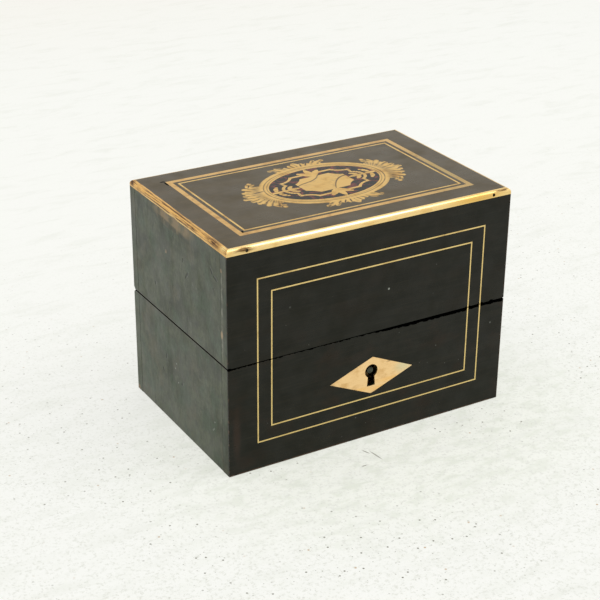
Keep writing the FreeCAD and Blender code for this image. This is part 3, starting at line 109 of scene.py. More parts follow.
class Field:
    """A number, colour or vector at every point of a surface, with the arithmetic that finishes need."""

    def __init__(self, bench: "FinishBench", socket: bpy.types.NodeSocket) -> None:
        """Keeps a socket and the bench that it lies on."""
        self.bench = bench
        self.socket = socket

    def __add__(self, other: "Value") -> "Field":
        """The sum."""
        return self.bench.calc("ADD", self, other)

    def __sub__(self, other: "Value") -> "Field":
        """The difference."""
        return self.bench.calc("SUBTRACT", self, other)

    def __rsub__(self, other: "Value") -> "Field":
        """What a number leaves when this one is taken off it."""
        return self.bench.calc("SUBTRACT", other, self)

    def __mul__(self, other: "Value") -> "Field":
        """The product."""
        return self.bench.calc("MULTIPLY", self, other)

    def __or__(self, other: "Value") -> "Field":
        """The larger of two."""
        return self.bench.calc("MAXIMUM", self, other)

    def __lt__(self, other: "Value") -> "Field":
        """1 where this one is less, 0 elsewhere."""
        return self.bench.calc("LESS_THAN", self, other)

    def __abs__(self) -> "Field":
        """Its size without its sign."""
        return self.bench.calc("ABSOLUTE", self)

    def scaled(self, factor: "Value", more: "Value") -> "Field":
        """The product with one number, plus another."""
        return self.bench.calc("MULTIPLY_ADD", self, factor, more)

    def near(self, place: float, reach: float) -> "Field":
        """1 where it is at a place, falling to 0 at a reach from it."""
        return abs(self - place).window(reach, 0.0)

    def bars(self, width: float) -> "Field":
        """One soft bar for each whole step of the number."""
        return self.bench.calc("FRACT", self).near(0.5, width)

    def window(self, low: float, high: float, first: float = 0.0, last: float = 1.0) -> "Field":
        """A smooth step.

        Args:
            low: where the step starts.
            high: where it ends. It may lie below the start.
            first: the value at its start.
            last: the value at its end.

        Returns:
            A value between first and last.
        """
        steps = ((low, first), (high, last))
        (from_low, to_low), (from_high, to_high) = reversed(steps) if low > high else steps
        inputs = {"Value": self, "From Min": from_low, "From Max": from_high, "To Min": to_low,
                  "To Max": to_high}
        return self.bench.result("MapRange", inputs, "Result", interpolation_type="SMOOTHSTEP")


Value = Field | float | int | Tone


class FinishBench:
    """A material's node tree, with short calls for what finishes are made of. Sizes are in millimetres."""

    def __init__(self, name: str) -> None:
        """Starts a material with no colour and no relief.

        Args:
            name: the material's name.
        """
        self.material = bpy.data.materials.new(name)
        self.material.use_nodes = True
        self.tree = self.material.node_tree
        self.tree.nodes.clear()
        self.output = self.node("OutputMaterial", {})
        place = self.node("TexCoord", {})
        self.at = self.moved(Field(self, place.outputs["Object"]), scale=(1 / MM, 1 / MM, 1 / MM))
        self.facing = Field(self, place.outputs["Normal"])
        self.right, self.back, self.up = self.parts(self.at)
        self.colour: Value = (0.0, 0.0, 0.0)
        self.relief: Field | None = None

    def feed(self, socket: bpy.types.NodeSocket, value: Value) -> None:
        """Links a socket to a field, or sets its own value.

        Args:
            socket: the input to fill.
            value: a field, a number or a colour.
        """
        if isinstance(value, Field):
            self.tree.links.new(value.socket, socket)
        elif socket.type == "RGBA" and len(value) == 3:
            socket.default_value = (*value, 1.0)
        else:
            socket.default_value = value

    def node(self, kind: str, inputs: dict[str | int, "Value"], **choices: str) -> bpy.types.Node:
        """Adds a node.

        Args:
            kind: its kind, without the words that all kinds share.
            inputs: what goes into it, by the input's name or number.
            choices: its named options.

        Returns:
            The node.
        """
        node = self.tree.nodes.new(f"ShaderNode{kind}")
        for name, choice in choices.items():
            setattr(node, name, choice)
        for name, value in inputs.items():
            self.feed(node.inputs[name], value)
        return node

    def result(self, kind: str, inputs: dict[str | int, "Value"], output: str | int = 0,
               **choices: str) -> Field:
        """Adds a node and gives one of its outputs."""
        return Field(self, self.node(kind, inputs, **choices).outputs[output])

    def moved(self, vector: Field, location: Tone = (0, 0, 0), turn: float = 0.0,
              scale: Tone = (1, 1, 1), undone: bool = False) -> Field:
        """A vector moved, turned about Z and scaled by a Mapping node.

        Args:
            vector: what is mapped.
            location: the node's location.
            turn: the turn about Z in degrees.
            scale: the node's scale.
            undone: whether the vector is taken back by these instead.

        Returns:
            The mapped vector.
        """
        inputs = {"Vector": vector, "Location": location, "Rotation": (0, 0, math.radians(turn)),
                  "Scale": scale}
        return self.result("Mapping", inputs, vector_type="TEXTURE" if undone else "POINT")

    def calc(self, what: str, *values: Value) -> Field:
        """One step of arithmetic on one, two or three values."""
        return self.result("Math", dict(enumerate(values)), operation=what)

    def most(self, first: Field, *others: Field) -> Field:
        """The largest of several values."""
        return functools.reduce(operator.or_, others, first)

    def parts(self, vector: Field) -> tuple[Field, ...]:
        """The three numbers of a vector."""
        return tuple(Field(self, number) for number in self.node("SeparateXYZ", {0: vector}).outputs)

    def joined(self, first: Field, second: Field) -> Field:
        """Two numbers as a flat vector."""
        return self.result("CombineXYZ", {0: first, 1: second})

    def length(self, vector: Field) -> Field:
        """The length of a vector."""
        return self.result("VectorMath", {0: vector}, "Value", operation="LENGTH")

    def cloud(self, size: float | Tone, seed: float = 0.0, detail: float = 3.0, rough: float = 0.55,
              twist: float = 0.0) -> Field:
        """Soft noise whose blots have a size.

        Args:
            size: the size of a blot, or its size along each axis.
            seed: shifts the pattern.
            detail: how many finer layers it has.
            rough: how strong these are.
            twist: how far the pattern is distorted.

        Returns:
            A value round 0.5.
        """
        sizes = size if isinstance(size, tuple) else (size, size, size)
        where = self.moved(self.at, (seed * 3.1, seed * 7.7, seed * 5.3), 0, tuple(1 / s for s in sizes))
        return self.result("TexNoise", {"Vector": where, "Scale": 1.0, "Detail": detail, "Roughness": rough,
                                        "Distortion": twist})

    def along(self, grain: Grain, long: float, fine: float, seed: float = 0.0, detail: float = 3.0) -> Field:
        """Noise drawn out along the grain.

        Args:
            grain: the axis it is drawn along.
            long: the length of a streak.
            fine: its width.
            seed: shifts the pattern.
            detail: how many finer layers it has.

        Returns:
            A value round 0.5.
        """
        sizes = [fine, fine, fine]
        sizes[grain.value] = long
        return self.cloud(tuple(sizes), seed, detail)

    def specks(self, size: float, share: float, seed: float = 0.0, flat: bool = False) -> Field:
        """Small round specks.

        Args:
            size: their spacing.
            share: their radius as a share of the spacing.
            seed: shifts the pattern.
            flat: whether every spacing has its speck on the floor's plane.

        Returns:
            1 in a speck, 0 outside it.
        """
        where = self.moved(self.at, (seed * 9.1, seed * 4.7, seed * 6.3), 0, (1 / size,) * 3)
        distance = self.result("TexVoronoi", {"Vector": where, "Scale": 1.0}, "Distance",
                               voronoi_dimensions="2D" if flat else "3D")
        return distance.window(share, share * 0.5)

    def spot(self, centre: Tone, radii: Tone, soft: float = 0.5) -> Field:
        """A soft-edged ellipsoid, 1 inside and 0 outside, whose edge takes a share of the radius."""
        return self.length(self.moved(self.at, centre, 0, radii, True)).window(1.0, 1.0 - soft)

    def stroke(self, place: Field, start: Pair, end: Pair, width: float) -> Field:
        """A straight stroke that tapers at its ends.

        Args:
            place: the coordinates that it is drawn in.
            start: where it starts.
            end: where it ends.
            width: its width.

        Returns:
            1 on the stroke, 0 beside it.
        """
        run = (end[0] - start[0], end[1] - start[1])
        middle = ((start[0] + end[0]) / 2, (start[1] + end[1]) / 2, 0.0)
        turn = math.degrees(math.atan2(run[1], run[0]))
        size = (math.hypot(*run) / 2, width, ENDLESS)
        return self.length(self.moved(place, middle, turn, size, True)).window(1.0, 0.4)

    def eye(self, place: Field, centre: Pair, radius: float, width: float) -> Field:
        """A small ring, as at the middle of a curl.

        Args:
            place: the coordinates that it is drawn in.
            centre: its middle.
            radius: its radius.
            width: half the width of its line.

        Returns:
            1 on the line, 0 beside it.
        """
        flat = self.moved(place, (*centre, 0.0), 0, (1.0, 1.0, ENDLESS), True)
        return self.length(flat).near(radius, width)

    def mix(self, factor: Field, first: Value, second: Value) -> Field:
        """A blend of two colours, the first where the factor is 0 and the second where it is 1."""
        return self.result("Mix", {"Factor": factor, 6: first, 7: second}, 2, data_type="RGBA")

    def paint(self, tone: Value, mask: Field) -> None:
        """Lays a colour over those before it, where the mask is 1."""
        self.colour = self.mix(mask, self.colour, tone)

    def emboss(self, height: Field, depth: float, strength: float) -> None:
        """Adds a relief to those before it.

        Args:
            height: the pattern, from 0 to 1.
            depth: how deep it is.
            strength: how much of it shows.
        """
        under = {} if self.relief is None else {"Normal": self.relief}
        self.relief = self.result("Bump", {"Strength": strength, "Distance": depth * MM, "Height": height,
                                           **under})

    def shade(self, **sockets: Value) -> None:
        """Ends the material with one shader under its colour and relief.

        Args:
            sockets: the shader's other inputs by name, with _ for a space.
        """
        others = {name.replace("_", " "): value for name, value in sockets.items()}
        shader = self.result("BsdfPrincipled", {"Base Color": self.colour, "Normal": self.relief, **others})
        self.feed(self.output.inputs["Surface"], shader)


@dataclass(frozen=True)
class Finish:
    """A finish with a name, laid on a bench of its own."""

    name: str

    def lay(self, bench: FinishBench) -> None:
        """Lays colour, relief and shader, in each finish's own way."""
        raise NotImplementedError

    def make(self) -> bpy.types.Material:
        """Builds the material.

        Returns:
            The material.
        """
        bench = FinishBench(self.name)
        self.lay(bench)
        return bench.material


@dataclass(frozen=True)
class EbonyPolish(Finish):
    """Ebony veneer under French polish: fine grain, cloudy gloss, dust, rubbed edges, painted glints and
    painted seam shade.
    """

    seed: float = 0.0
    deep: Tone = (0.0058, 0.0064, 0.0020)
    streak: Tone = (0.0150, 0.0132, 0.0060)
    russet: Tone = (0.0230, 0.0125, 0.0050)
    rubbed: Tone = (0.0900, 0.0480, 0.0240)
    dust: Tone = (0.1500, 0.1550, 0.1350)
    gloss: float = 0.24
    level: float = 0.22
    warmth: float = 0.30
    upright: bool = True
    reflection: Tone = (1.0, 1.0, 1.0)

    def edges(self, bench: FinishBench) -> Field:
        """Where the polish is rubbed through: foot, right end and, in places, the left end.

        Args:
            bench: the material's bench.

        Returns:
            1 on bare wood, 0 elsewhere.
        """
        wear = bench.cloud(2.4, self.seed + 2.0, 5.0)
        foot = bench.up.window(0.7, 0.3) * wear.window(0.34, 0.50)
        right_end = bench.right.window(64.5, 64.8) * wear.window(0.38, 0.52, 0.0, 0.8)
        left_end = bench.right.window(-64.6, -64.9) * wear.window(0.56, 0.66, 0.0, 0.7)
        return foot | (right_end | left_end)

    def painted_seam_shade(self, bench: FinishBench) -> Field:
        """Painted shade in the open seam under the rim, black and deeper to the right, with chips in it
        painted black too.

        Args:
            bench: the material's bench.

        Returns:
            1 in the painted seam shade, 0 elsewhere.
        """
        reach = bench.right.window(-6.0, 19.0, 0.10, 1.02)
        ragged = bench.cloud(1.5, self.seed + 4.0, 4.0).window(0.35, 0.65, -0.18, 0.26)
        seam_shade_and_gaps = (RIM - bench.up) < (reach + ragged)
        shaded_chips = bench.spot((-64.6, FRONT, SEAM), (1.5, 1.0, 0.8), 0.4)
        for place, radius in SHADED_RIM_CHIPS:
            shaded_chips |= bench.spot((place, FRONT, SEAM - 0.2), (radius, 1.0, 1.20), 0.35)
        return (seam_shade_and_gaps * (bench.up < SEAM)) | shaded_chips

    def wear_shade_and_glints(self, bench: FinishBench) -> Field:
        """Paints an upright face: a dull place by the left foot, bare edges, painted shade in the open seam
        under the rim, and painted glints.

        Args:
            bench: the material's bench.

        Returns:
            1 where no polish is left to shine.
        """
        bench.paint((0.0300, 0.0160, 0.0080), bench.spot((-61.5, FRONT, 18.0), (2.4, 1.0, 16.0), 0.8) * 0.8)
        bench.paint(self.rubbed, self.edges(bench))
        broken = self.painted_seam_shade(bench)
        # Painted shade: the open seam and its chips, black and without reflection.
        bench.paint((0.0005, 0.0005, 0.0004), broken)
        # Painted highlights: small bright glints on the polish.
        for place, strength in PAINTED_GLINTS:
            bench.paint((0.30, 0.32, 0.28), bench.spot(place, (0.6, 0.5, 0.6), 0.6) * strength)
        return broken

    def open_joints(self, bench: FinishBench) -> Field:
        """Paints the open joints in the veneer of the top.

        Args:
            bench: the material's bench.

        Returns:
            1 in a joint, 0 beside it.
        """
        gap = bench.most(*(bench.stroke(bench.at, *ends, 0.75) for ends in OPEN_JOINTS))
        bench.paint((0.002, 0.002, 0.002), gap)
        return gap

    def lay(self, bench: FinishBench) -> None:
        """Lays grain, warm patches, dust, polish and wear, and on upright faces painted glints and painted
        seam shade.

        Args:
            bench: the material's bench.
        """
        fibre = bench.along(Grain.ACROSS, 16.0, 0.35, self.seed, 4.0)
        figure = bench.along(Grain.ACROSS, 60.0, 4.0, self.seed + 1.0)
        bench.colour = self.deep
        bench.paint(self.streak, fibre.window(0.45, 0.80))
        bench.paint(self.streak, figure.window(0.40, 0.75, 0.0, 0.6))
        warm = bench.cloud((15.0, 15.0, 11.0), self.seed + 6.0, 5.0)
        bench.paint(self.russet, warm.window(0.50, 0.72, 0.0, self.warmth))
        for size, share in ((6.0, 0.040), (11.0, 0.034)):
            bench.paint(self.dust, bench.specks(size, share, self.seed + size) * 0.6)
        rough = bench.cloud(14.0, self.seed + 3.0, 4.0).window(0.30, 0.75, self.gloss, self.gloss + 0.16)
        rough += bench.along(Grain.ACROSS, 9.0, 0.12, 4.0).window(0.62, 0.80, 0.0, 0.10)
        level = bench.cloud(8.0, self.seed + 7.0, 4.0)
        level = level.window(0.25, 0.75, self.level * 0.82, self.level * 1.16)
        bench.emboss(fibre, 0.012, 0.6)
        bench.emboss(bench.cloud(26.0, self.seed + 5.0, 1.0), 0.12, 0.5)
        # Upright faces lose their reflection in the painted seam shade, and the top loses it in its open
        # joints.
        seam_shade_and_gaps = self.wear_shade_and_glints(bench) if self.upright else self.open_joints(bench)
        bench.shade(Roughness=rough, IOR=1.5, Specular_IOR_Level=level * (1.0 - seam_shade_and_gaps),
                    Specular_Tint=self.reflection)


@dataclass(frozen=True)
class BlackedBoard(Finish):
    """Stained wood of the carcase: cloudy grey-green black outside, brown and dry underneath."""

    grain: Grain
    seed: float = 0.0
    stain: Tone = (0.0170, 0.0240, 0.0080)
    bloom: Tone = (0.0600, 0.0740, 0.0330)
    moss: Tone = (0.0380, 0.0660, 0.0300)
    earth: Tone = (0.0730, 0.0680, 0.0300)
    smeared: Tone = (0.0950, 0.1100, 0.0800)
    brown: Tone = (0.0480, 0.0260, 0.0140)
    ochre: Tone = (0.2400, 0.1650, 0.0750)
    joint: Tone = (0.1700, 0.1750, 0.1300)
    chip: Tone = (0.2600, 0.1700, 0.0900)
    fresh: Tone = (0.4000, 0.2700, 0.1500)
    dusty: Tone = (0.3000, 0.3200, 0.2800)
    rim: Tone = (0.0330, 0.0130, 0.0070)
    bare: Tone = (0.1150, 0.0660, 0.0330)
    gloss: float = 0.32

    def haze(self, bench: FinishBench) -> None:
        """Paints the stained face with its bloom, smears and scratches, and painted reflection that lightens
        the bloom towards the foot.

        Args:
            bench: the material's bench.
        """
        cloudy = bench.cloud(14.0, self.seed, 6.0, 0.62, 0.5)
        smear = bench.cloud((5.0, 5.0, 8.0), self.seed + 1.0, 5.0, 0.6, 0.8)
        fibre = bench.along(self.grain, 26.0, 0.5, self.seed + 2.0, 4.0)
        strength = cloudy.window(0.34, 0.66, 0.0, 0.85) + smear.window(0.42, 0.70, 0.0, 0.5)
        # Painted reflection: the bloom grows lighter towards the foot, standing in for the floor reflected
        # low on the side.
        strength += bench.up.window(45.0, 3.0, 0.0, 0.36)
        strength -= bench.spot(FOOT_CORNER, (3.0, 16.0, 24.0), 0.8) * 0.7
        bench.colour = self.stain
        bench.paint(self.bloom, bench.calc("MINIMUM", strength, 1.0) | 0.0)
        bench.paint(self.moss, bench.cloud(11.0, self.seed + 7.0, 5.0).window(0.50, 0.62, 0.0, 0.8))
        bench.paint(self.earth, bench.cloud(13.0, self.seed + 8.0, 5.0).window(0.54, 0.68, 0.0, 0.7))
        bench.paint(self.stain, fibre.window(0.56, 0.78, 0.0, 0.35))
        grain = bench.cloud((1.5, 1.5, 2.2), self.seed + 11.0, 4.0, 0.6)
        bench.paint(self.stain, grain.window(0.42, 0.60, 0.0, 0.45))
        strokes = bench.cloud((3.0, 1.3, 3.6), self.seed + 9.0, 3.0, 0.55, 1.6)
        bench.paint(self.smeared, strokes.window(0.62, 0.70, 0.0, 0.55))
        bench.paint((0.003, 0.006, 0.003), strokes.window(0.37, 0.31, 0.0, 0.8))

    def dents(self, bench: FinishBench) -> Field:
        """The dents and strokes on the left side, 1 in a dent and 0 outside it."""
        face = bench.joined(bench.back, bench.up)
        return bench.most(*(bench.stroke(face, *ends, 0.75) for ends in DENTS)) * (bench.right < -64.0)

    def wear(self, bench: FinishBench) -> None:
        """Paints worn rims, the paler joint by the front, the damage seen on the left side, and a stroke of
        painted shade high on the side.

        Args:
            bench: the material's bench.
        """
        ragged = bench.cloud(3.0, self.seed + 3.0, 5.0)
        bench.paint(self.brown, bench.up.window(1.3, 0.0) * ragged.window(0.46, 0.60, 0.0, 0.7))
        stained = bench.spot((LEFT, 3.0, 92.6), (2.0, 21.0, 5.6), 0.5)
        stained *= bench.cloud(5.0, self.seed + 4.0, 5.0).window(0.34, 0.54, 0.3, 0.9)
        bench.paint(self.ochre, stained)
        # Painted shade: a ragged dark stroke high on the side, below the moulding.
        shaded = bench.stroke(bench.joined(bench.back, bench.up), (40.0, 91.6), (-24.0, 87.2), 1.6)
        bench.paint(self.stain, shaded * ragged.window(0.35, 0.55, 0.2, 0.8))
        pale = (bench.back - ragged.scaled(2.4, -39.1)).near(0.0, 0.90)
        pale *= bench.cloud(4.0, self.seed + 12.0, 4.0).window(0.40, 0.56, 0.15, 1.0)
        pale *= bench.spot((LEFT, -37.5, 68.0), (2.0, 4.0, 22.0), 0.4)
        bench.paint(self.joint, pale)
        worn = ragged.window(0.30, 0.52)
        for centre, radii in BOARD_CHIPS:
            bench.paint(self.chip, bench.spot(centre, radii, 0.6) * worn)
        bench.paint(self.fresh, bench.spot((LEFT, -37.5, 60.4), (1.6, 1.1, 2.3), 0.7))
        for back, up in DUST:
            bench.paint(self.dusty, bench.spot((LEFT, back, up), (1.0, 0.45, 0.5), 0.8))
        bench.paint(self.rim, bench.up.near(SEAM, 0.85) * ragged.window(0.40, 0.58, 0.35, 1.0))

    def lay(self, bench: FinishBench) -> None:
        """Lays stain and wear, dry wood underneath, painted shade in the keyhole and along the seam, and
        dents.

        Args:
            bench: the material's bench.
        """
        self.haze(bench)
        self.wear(bench)
        underside = bench.parts(bench.facing)[2].window(-0.5, -0.9) * bench.up.window(1.0, 0.5)
        dry = bench.along(Grain.ACROSS, 60.0, 1.2, 7.0, 5.0).window(0.35, 0.70)
        bench.paint(bench.mix(dry, self.brown, self.bare), underside)
        rough = bench.cloud(13.0, self.seed + 5.0, 5.0).window(0.30, 0.75, self.gloss, self.gloss + 0.16)
        rough += bench.cloud((4.0, 4.0, 15.0), self.seed + 1.0, 4.0).window(0.45, 0.80, 0.0, 0.12)
        rough |= underside * 0.75
        level = bench.cloud(7.0, self.seed + 10.0, 5.0).window(0.25, 0.75, 0.42, 0.56)
        level *= bench.spot(FOOT_CORNER, (3.0, 18.0, 26.0), 0.9).scaled(-0.30, 1.0)
        # Painted shade: black without reflection round the keyhole and along the seam.
        dark = bench.spot(KEYHOLE, (5.0, 3.4, 8.0), 0.4) | abs(bench.up - SEAM).window(0.36, 0.26)
        bench.paint((0.0030, 0.0020, 0.0015), dark)
        level *= 1.0 - dark
        dents = self.dents(bench)
        bench.paint((0.0040, 0.0065, 0.0035), dents * 0.7)
        bench.emboss(bench.along(self.grain, 26.0, 0.5, self.seed + 2.0, 4.0), 0.020, 0.5)
        bench.emboss(bench.cloud(7.0, self.seed + 6.0, 4.0), 0.22, 0.6)
        bench.emboss(1.0 - (dents | bench.specks(13.0, 0.045, self.seed)), 0.30, 0.9)
        bench.shade(Roughness=rough, IOR=1.5, Specular_IOR_Level=level)


@dataclass(frozen=True)
class WornBrass(Finish):
    """Sheet or drawn brass: scratched along its length, tarnished brown in patches, engraved where asked,
    with tints and painted highlights in given places.
    """

    grain: Grain
    seed: float = 0.0
    bright: Tone = (0.690, 0.440, 0.124)
    dull: Tone = (0.500, 0.295, 0.085)
    tarnish: Tone = (0.120, 0.062, 0.026)
    cover: float = 0.35
    gloss: float = 0.26
    engraving: Engraving = Engraving.NONE
    worn_places: tuple[tuple[Tone, Tone], ...] = ()
    tints_and_painted_highlights: tuple[tuple[Tone, Tone, Tone], ...] = ()
    scratches: float = 0.35
    streaks: float = 0.0
    cartouche: Tone = (2.6, 0.2, 2.3)

    def plaque_cuts(self, bench: FinishBench, across: Field, deep: Field) -> Field:
        """The scrolled edges of the plaque's middle, and the hatching between them.

        Args:
            bench: the material's bench.
            across: the cartouche's own X.
            deep: the cartouche's own Y.

        Returns:
            1 in a line, 0 outside it.
        """
        scrolls = []
        for rise, *factors in SCROLL_EDGES:
            for factor in factors:
                rise = bench.calc("MULTIPLY_ADD", rise, across, factor)
            scrolls.append(deep - rise)
        left, right = scrolls
        left_line = left.near(0.0, 0.55) * across.window(3.2, 2.4)
        right_line = right.near(0.0, 0.75) * across.window(0.2, 0.8)
        broken = bench.along(Grain.ACROSS, 3.0, 0.5, self.seed + 8.0).window(0.44, 0.54)
        between = left.window(0.3, -0.3) * right.window(-0.3, 0.3)
        hatch = ((across.scaled(0.22, deep) * 0.72).bars(0.22) * broken) * (between * 0.8)
        hatch *= (left.window(-4.0, -1.0) | right.window(4.5, 1.0)).scaled(0.65, 0.35)
        return bench.most(left_line, right_line, hatch)

    def ring_cuts(self, bench: FinishBench, place: Field, across: Field, deep: Field) -> Field:
        """The line round the ring, the veins of its leaves, and the eyes of its curls.

        Args:
            bench: the material's bench.
            place: the cartouche's own coordinates.
            across: their X.
            deep: their Y.

        Returns:
            1 in a line, 0 outside it.
        """
        half_long, half_wide = (bench.calc("POWER", abs(value) * (1 / half), 2.0)
                                for value, half in ((across, 26.8), (deep, 18.6)))
        oval = bench.calc("SQRT", half_long + half_wide)
        uneven = bench.cloud(2.6, self.seed + 5.0).window(0.30, 0.55, 0.55, 1.0)
        rings = (oval.near(1.003, 0.016) * uneven) | (oval.near(0.950, 0.013) * 0.65)
        far = abs(across)
        near_end = far.window(17.5, 18.0)
        side = bench.calc("ARCTAN2", deep, far - 22.5)
        crest = bench.calc("ARCTAN2", across, abs(deep) - 12.0)
        turn = (side * near_end) + (crest * (1.0 - near_end))
        veins = bench.cloud(3.5, 3.0).scaled(0.9, turn * 4.6).bars(0.30)
        veins *= bench.cloud(2.4, self.seed + 6.0).window(0.36, 0.56, 0.25, 1.0)
        veins *= oval.window(1.07, 1.13, 0.0, 0.9)
        root = (oval.window(1.04, 1.10) * oval.window(1.24, 1.14)) * far.window(20.0, 24.0)
        root *= (side * 9.0).bars(0.30).scaled(0.45, 0.22)
        marks = [rings, veins, root, bench.stroke(place, (-33.4, 3.8), (-25.0, 4.5), 0.55)]
        for x in (-27.6, 27.6):
            for y in (-13.9, 13.9):
                marks.append(bench.eye(place, (x, y), 1.25, 0.42))
                marks.append(bench.stroke(place, (x, y), (x * 1.10, y * 0.72), 0.40))
        for y in (-1.0, 1.0):
            for x in (-6.0, -2.6, 2.6, 6.0):
                marks.append(bench.stroke(place, (x * 0.5, 19.6 * y), (x, 23.4 * y), 0.42))
        return bench.most(*marks)

    def cuts(self, bench: FinishBench) -> Field:
        """The graver's lines.

        Args:
            bench: the material's bench.

        Returns:
            1 in a line, 0 outside it.
        """
        right, back, turn = self.cartouche
        place = bench.moved(bench.at, (right, back, 0.0), turn, (1, 1, 1), True)
        across, deep, _ = bench.parts(place)
        if self.engraving is Engraving.PLAQUE:
            return self.plaque_cuts(bench, across, deep)
        if self.engraving is Engraving.RIBBON:
            fan = bench.calc("ARCTAN2", deep, abs(across) - 14.0)
            return (fan * 4.4).bars(0.16) * abs(across).window(12.5, 14.0, 0.0, 0.75)
        return self.ring_cuts(bench, place, across, deep)

    def lay(self, bench: FinishBench) -> None:
        """Lays metal, tints and painted highlights, tarnished places, scratches and the graver's lines.

        Args:
            bench: the material's bench.
        """
        patch = bench.cloud((7.0, 7.0, 4.0), self.seed, 5.0, 0.6)
        scratch = bench.along(self.grain, 7.0, 0.10, self.seed + 1.0, 4.0)
        low = 0.66 - 0.26 * self.cover
        bench.colour = self.bright
        bench.paint(self.dull, patch.window(low - 0.14, low + 0.12))
        # Given tints, and on the mouldings painted highlights.
        for centre, radii, tone in self.tints_and_painted_highlights:
            bench.paint(tone, bench.spot(centre, radii, 0.9))
        spots = bench.cloud(2.2, self.seed + 2.0, 5.0).window(low + 0.02, low + 0.14)
        spots *= patch.window(low - 0.10, low + 0.10)
        ragged = bench.along(self.grain, 4.5, 0.55, self.seed + 3.0, 4.0).window(0.38, 0.54, 0.25, 1.0)
        for centre, radii in self.worn_places:
            spots |= bench.spot(centre, radii, 0.8) * ragged
        bench.paint(self.tarnish, spots)
        bench.paint(self.dull, scratch.window(0.58, 0.74, 0.0, self.scratches))
        if self.streaks:
            streak = bench.along(self.grain, 11.0, 0.42, self.seed + 9.0, 4.0)
            bench.paint(self.tarnish, streak.window(0.52, 0.66, 0.0, self.streaks))
        rough = patch.window(0.35, 0.75, self.gloss, self.gloss + 0.16)
        rough += scratch.window(0.40, 0.80, 0.0, 0.14)
        bench.emboss(scratch, 0.008, 0.6)
        if self.engraving is not Engraving.NONE:
            lines = self.cuts(bench)
            bench.paint((0.030, 0.018, 0.009), lines * 0.96)
            bench.emboss(1.0 - lines, 0.06, 0.8)
        bench.shade(Metallic=1.0, Roughness=rough | (spots * 0.6))


@dataclass(frozen=True)
class Tortoiseshell(Finish):
    """Dark shell laid over red: blots of black and wine red under a clear polish."""

    dark: Tone = (0.0110, 0.0110, 0.0055)
    red: Tone = (0.1500, 0.0310, 0.0230)
    amber: Tone = (0.1700, 0.0650, 0.0220)

    def lay(self, bench: FinishBench) -> None:
        """Lays the shell's blots and polish.

        Args:
            bench: the material's bench.
        """
        blots = bench.cloud((3.4, 2.6, 3.0), 2.0, 4.0, 0.55, 0.6)
        fine = bench.cloud(0.9, 5.0, 3.0)
        bench.colour = self.dark
        bench.paint(self.red, blots.window(0.50, 0.62))
        bench.paint(self.amber, blots.window(0.60, 0.72) * fine.window(0.4, 0.7))
        bench.emboss(fine, 0.012, 0.4)
        rough = bench.cloud(5.0, 8.0).window(0.3, 0.7, 0.16, 0.28)
        bench.shade(Roughness=rough, IOR=1.54, Specular_IOR_Level=0.10)


@dataclass(frozen=True)
class FiledMetal(Finish):
    """Metal of the lock and the hinges, with file marks, tarnish in patches and dull polish."""

    bright: Tone
    tarnish: Tone
    grain: Grain = Grain.ACROSS
    gloss: float = 0.32
    hole_shade: Tone = KEYHOLE

    def lay(self, bench: FinishBench) -> None:
        """Lays metal, file marks, tarnish and painted shade round the keyhole.

        Args:
            bench: the material's bench.
        """
        files = bench.along(self.grain, 5.0, 0.08, 3.0, 3.0)
        patch = bench.cloud(2.6, 6.0, 5.0)
        bench.colour = self.bright
        bench.paint(self.tarnish, patch.window(0.44, 0.68))
        bench.paint(self.tarnish, files.window(0.60, 0.78, 0.0, 0.4))
        # Painted shade: the keyhole darkened to black.
        bench.paint((0.006, 0.005, 0.004), bench.spot(self.hole_shade, (5.0, 2.8, 8.0), 0.4) * 0.9)
        bench.emboss(files, 0.008, 0.6)
        bench.emboss(patch, 0.02, 0.4)
        rough = patch.window(0.3, 0.7, self.gloss, self.gloss + 0.2) + files.window(0.4, 0.8, 0.0, 0.1)
        bench.shade(Metallic=1.0, Roughness=rough)


@dataclass(frozen=True)
class CrimsonSilk(Finish):
    """Ribbed silk: crosswise ribs, slubs, a dry sheen, and fading in patches."""

    ribs: Grain
    deep: Tone = (0.1500, 0.0050, 0.0110)
    light: Tone = (0.3300, 0.0170, 0.0280)
    faded: Tone = (0.3600, 0.0600, 0.0550)
    rib_step: float = 0.42
    warp_step: float = 0.26

    def lay(self, bench: FinishBench) -> None:
        """Lays ribs, warp, slubs, fading and sheen.

        Args:
            bench: the material's bench.
        """
        axes = [bench.right, bench.back, bench.up]
        ribs = axes.pop(self.ribs.value)
        rib = bench.calc("SINE", ribs * (2 * math.pi / self.rib_step)).scaled(0.5, 0.5)
        warp = [bench.calc(wave, axis * (2 * math.pi / self.warp_step))
                for wave, axis in zip(("SINE", "COSINE"), axes)]
        weave = rib + (warp[0] * warp[1]) * 0.25
        slub = bench.along(Grain((self.ribs.value + 1) % 3), 8.0, 0.35, 3.0)
        bench.colour = self.deep
        bench.paint(self.light, weave.window(0.0, 1.0))
        bench.paint(self.faded, bench.cloud(22.0, 4.0, 4.0).window(0.45, 0.75, 0.0, 0.45))
        bench.paint(self.light, slub.window(0.60, 0.75, 0.0, 0.3))
        bench.emboss(weave, 0.05, 0.5)
        bench.emboss(slub, 0.05, 0.3)
        bench.shade(Roughness=weave.window(0.0, 1.0, 0.62, 0.46), Sheen_Weight=0.35, Sheen_Roughness=0.35,
                    Sheen_Tint=(1.0, 0.55, 0.55))


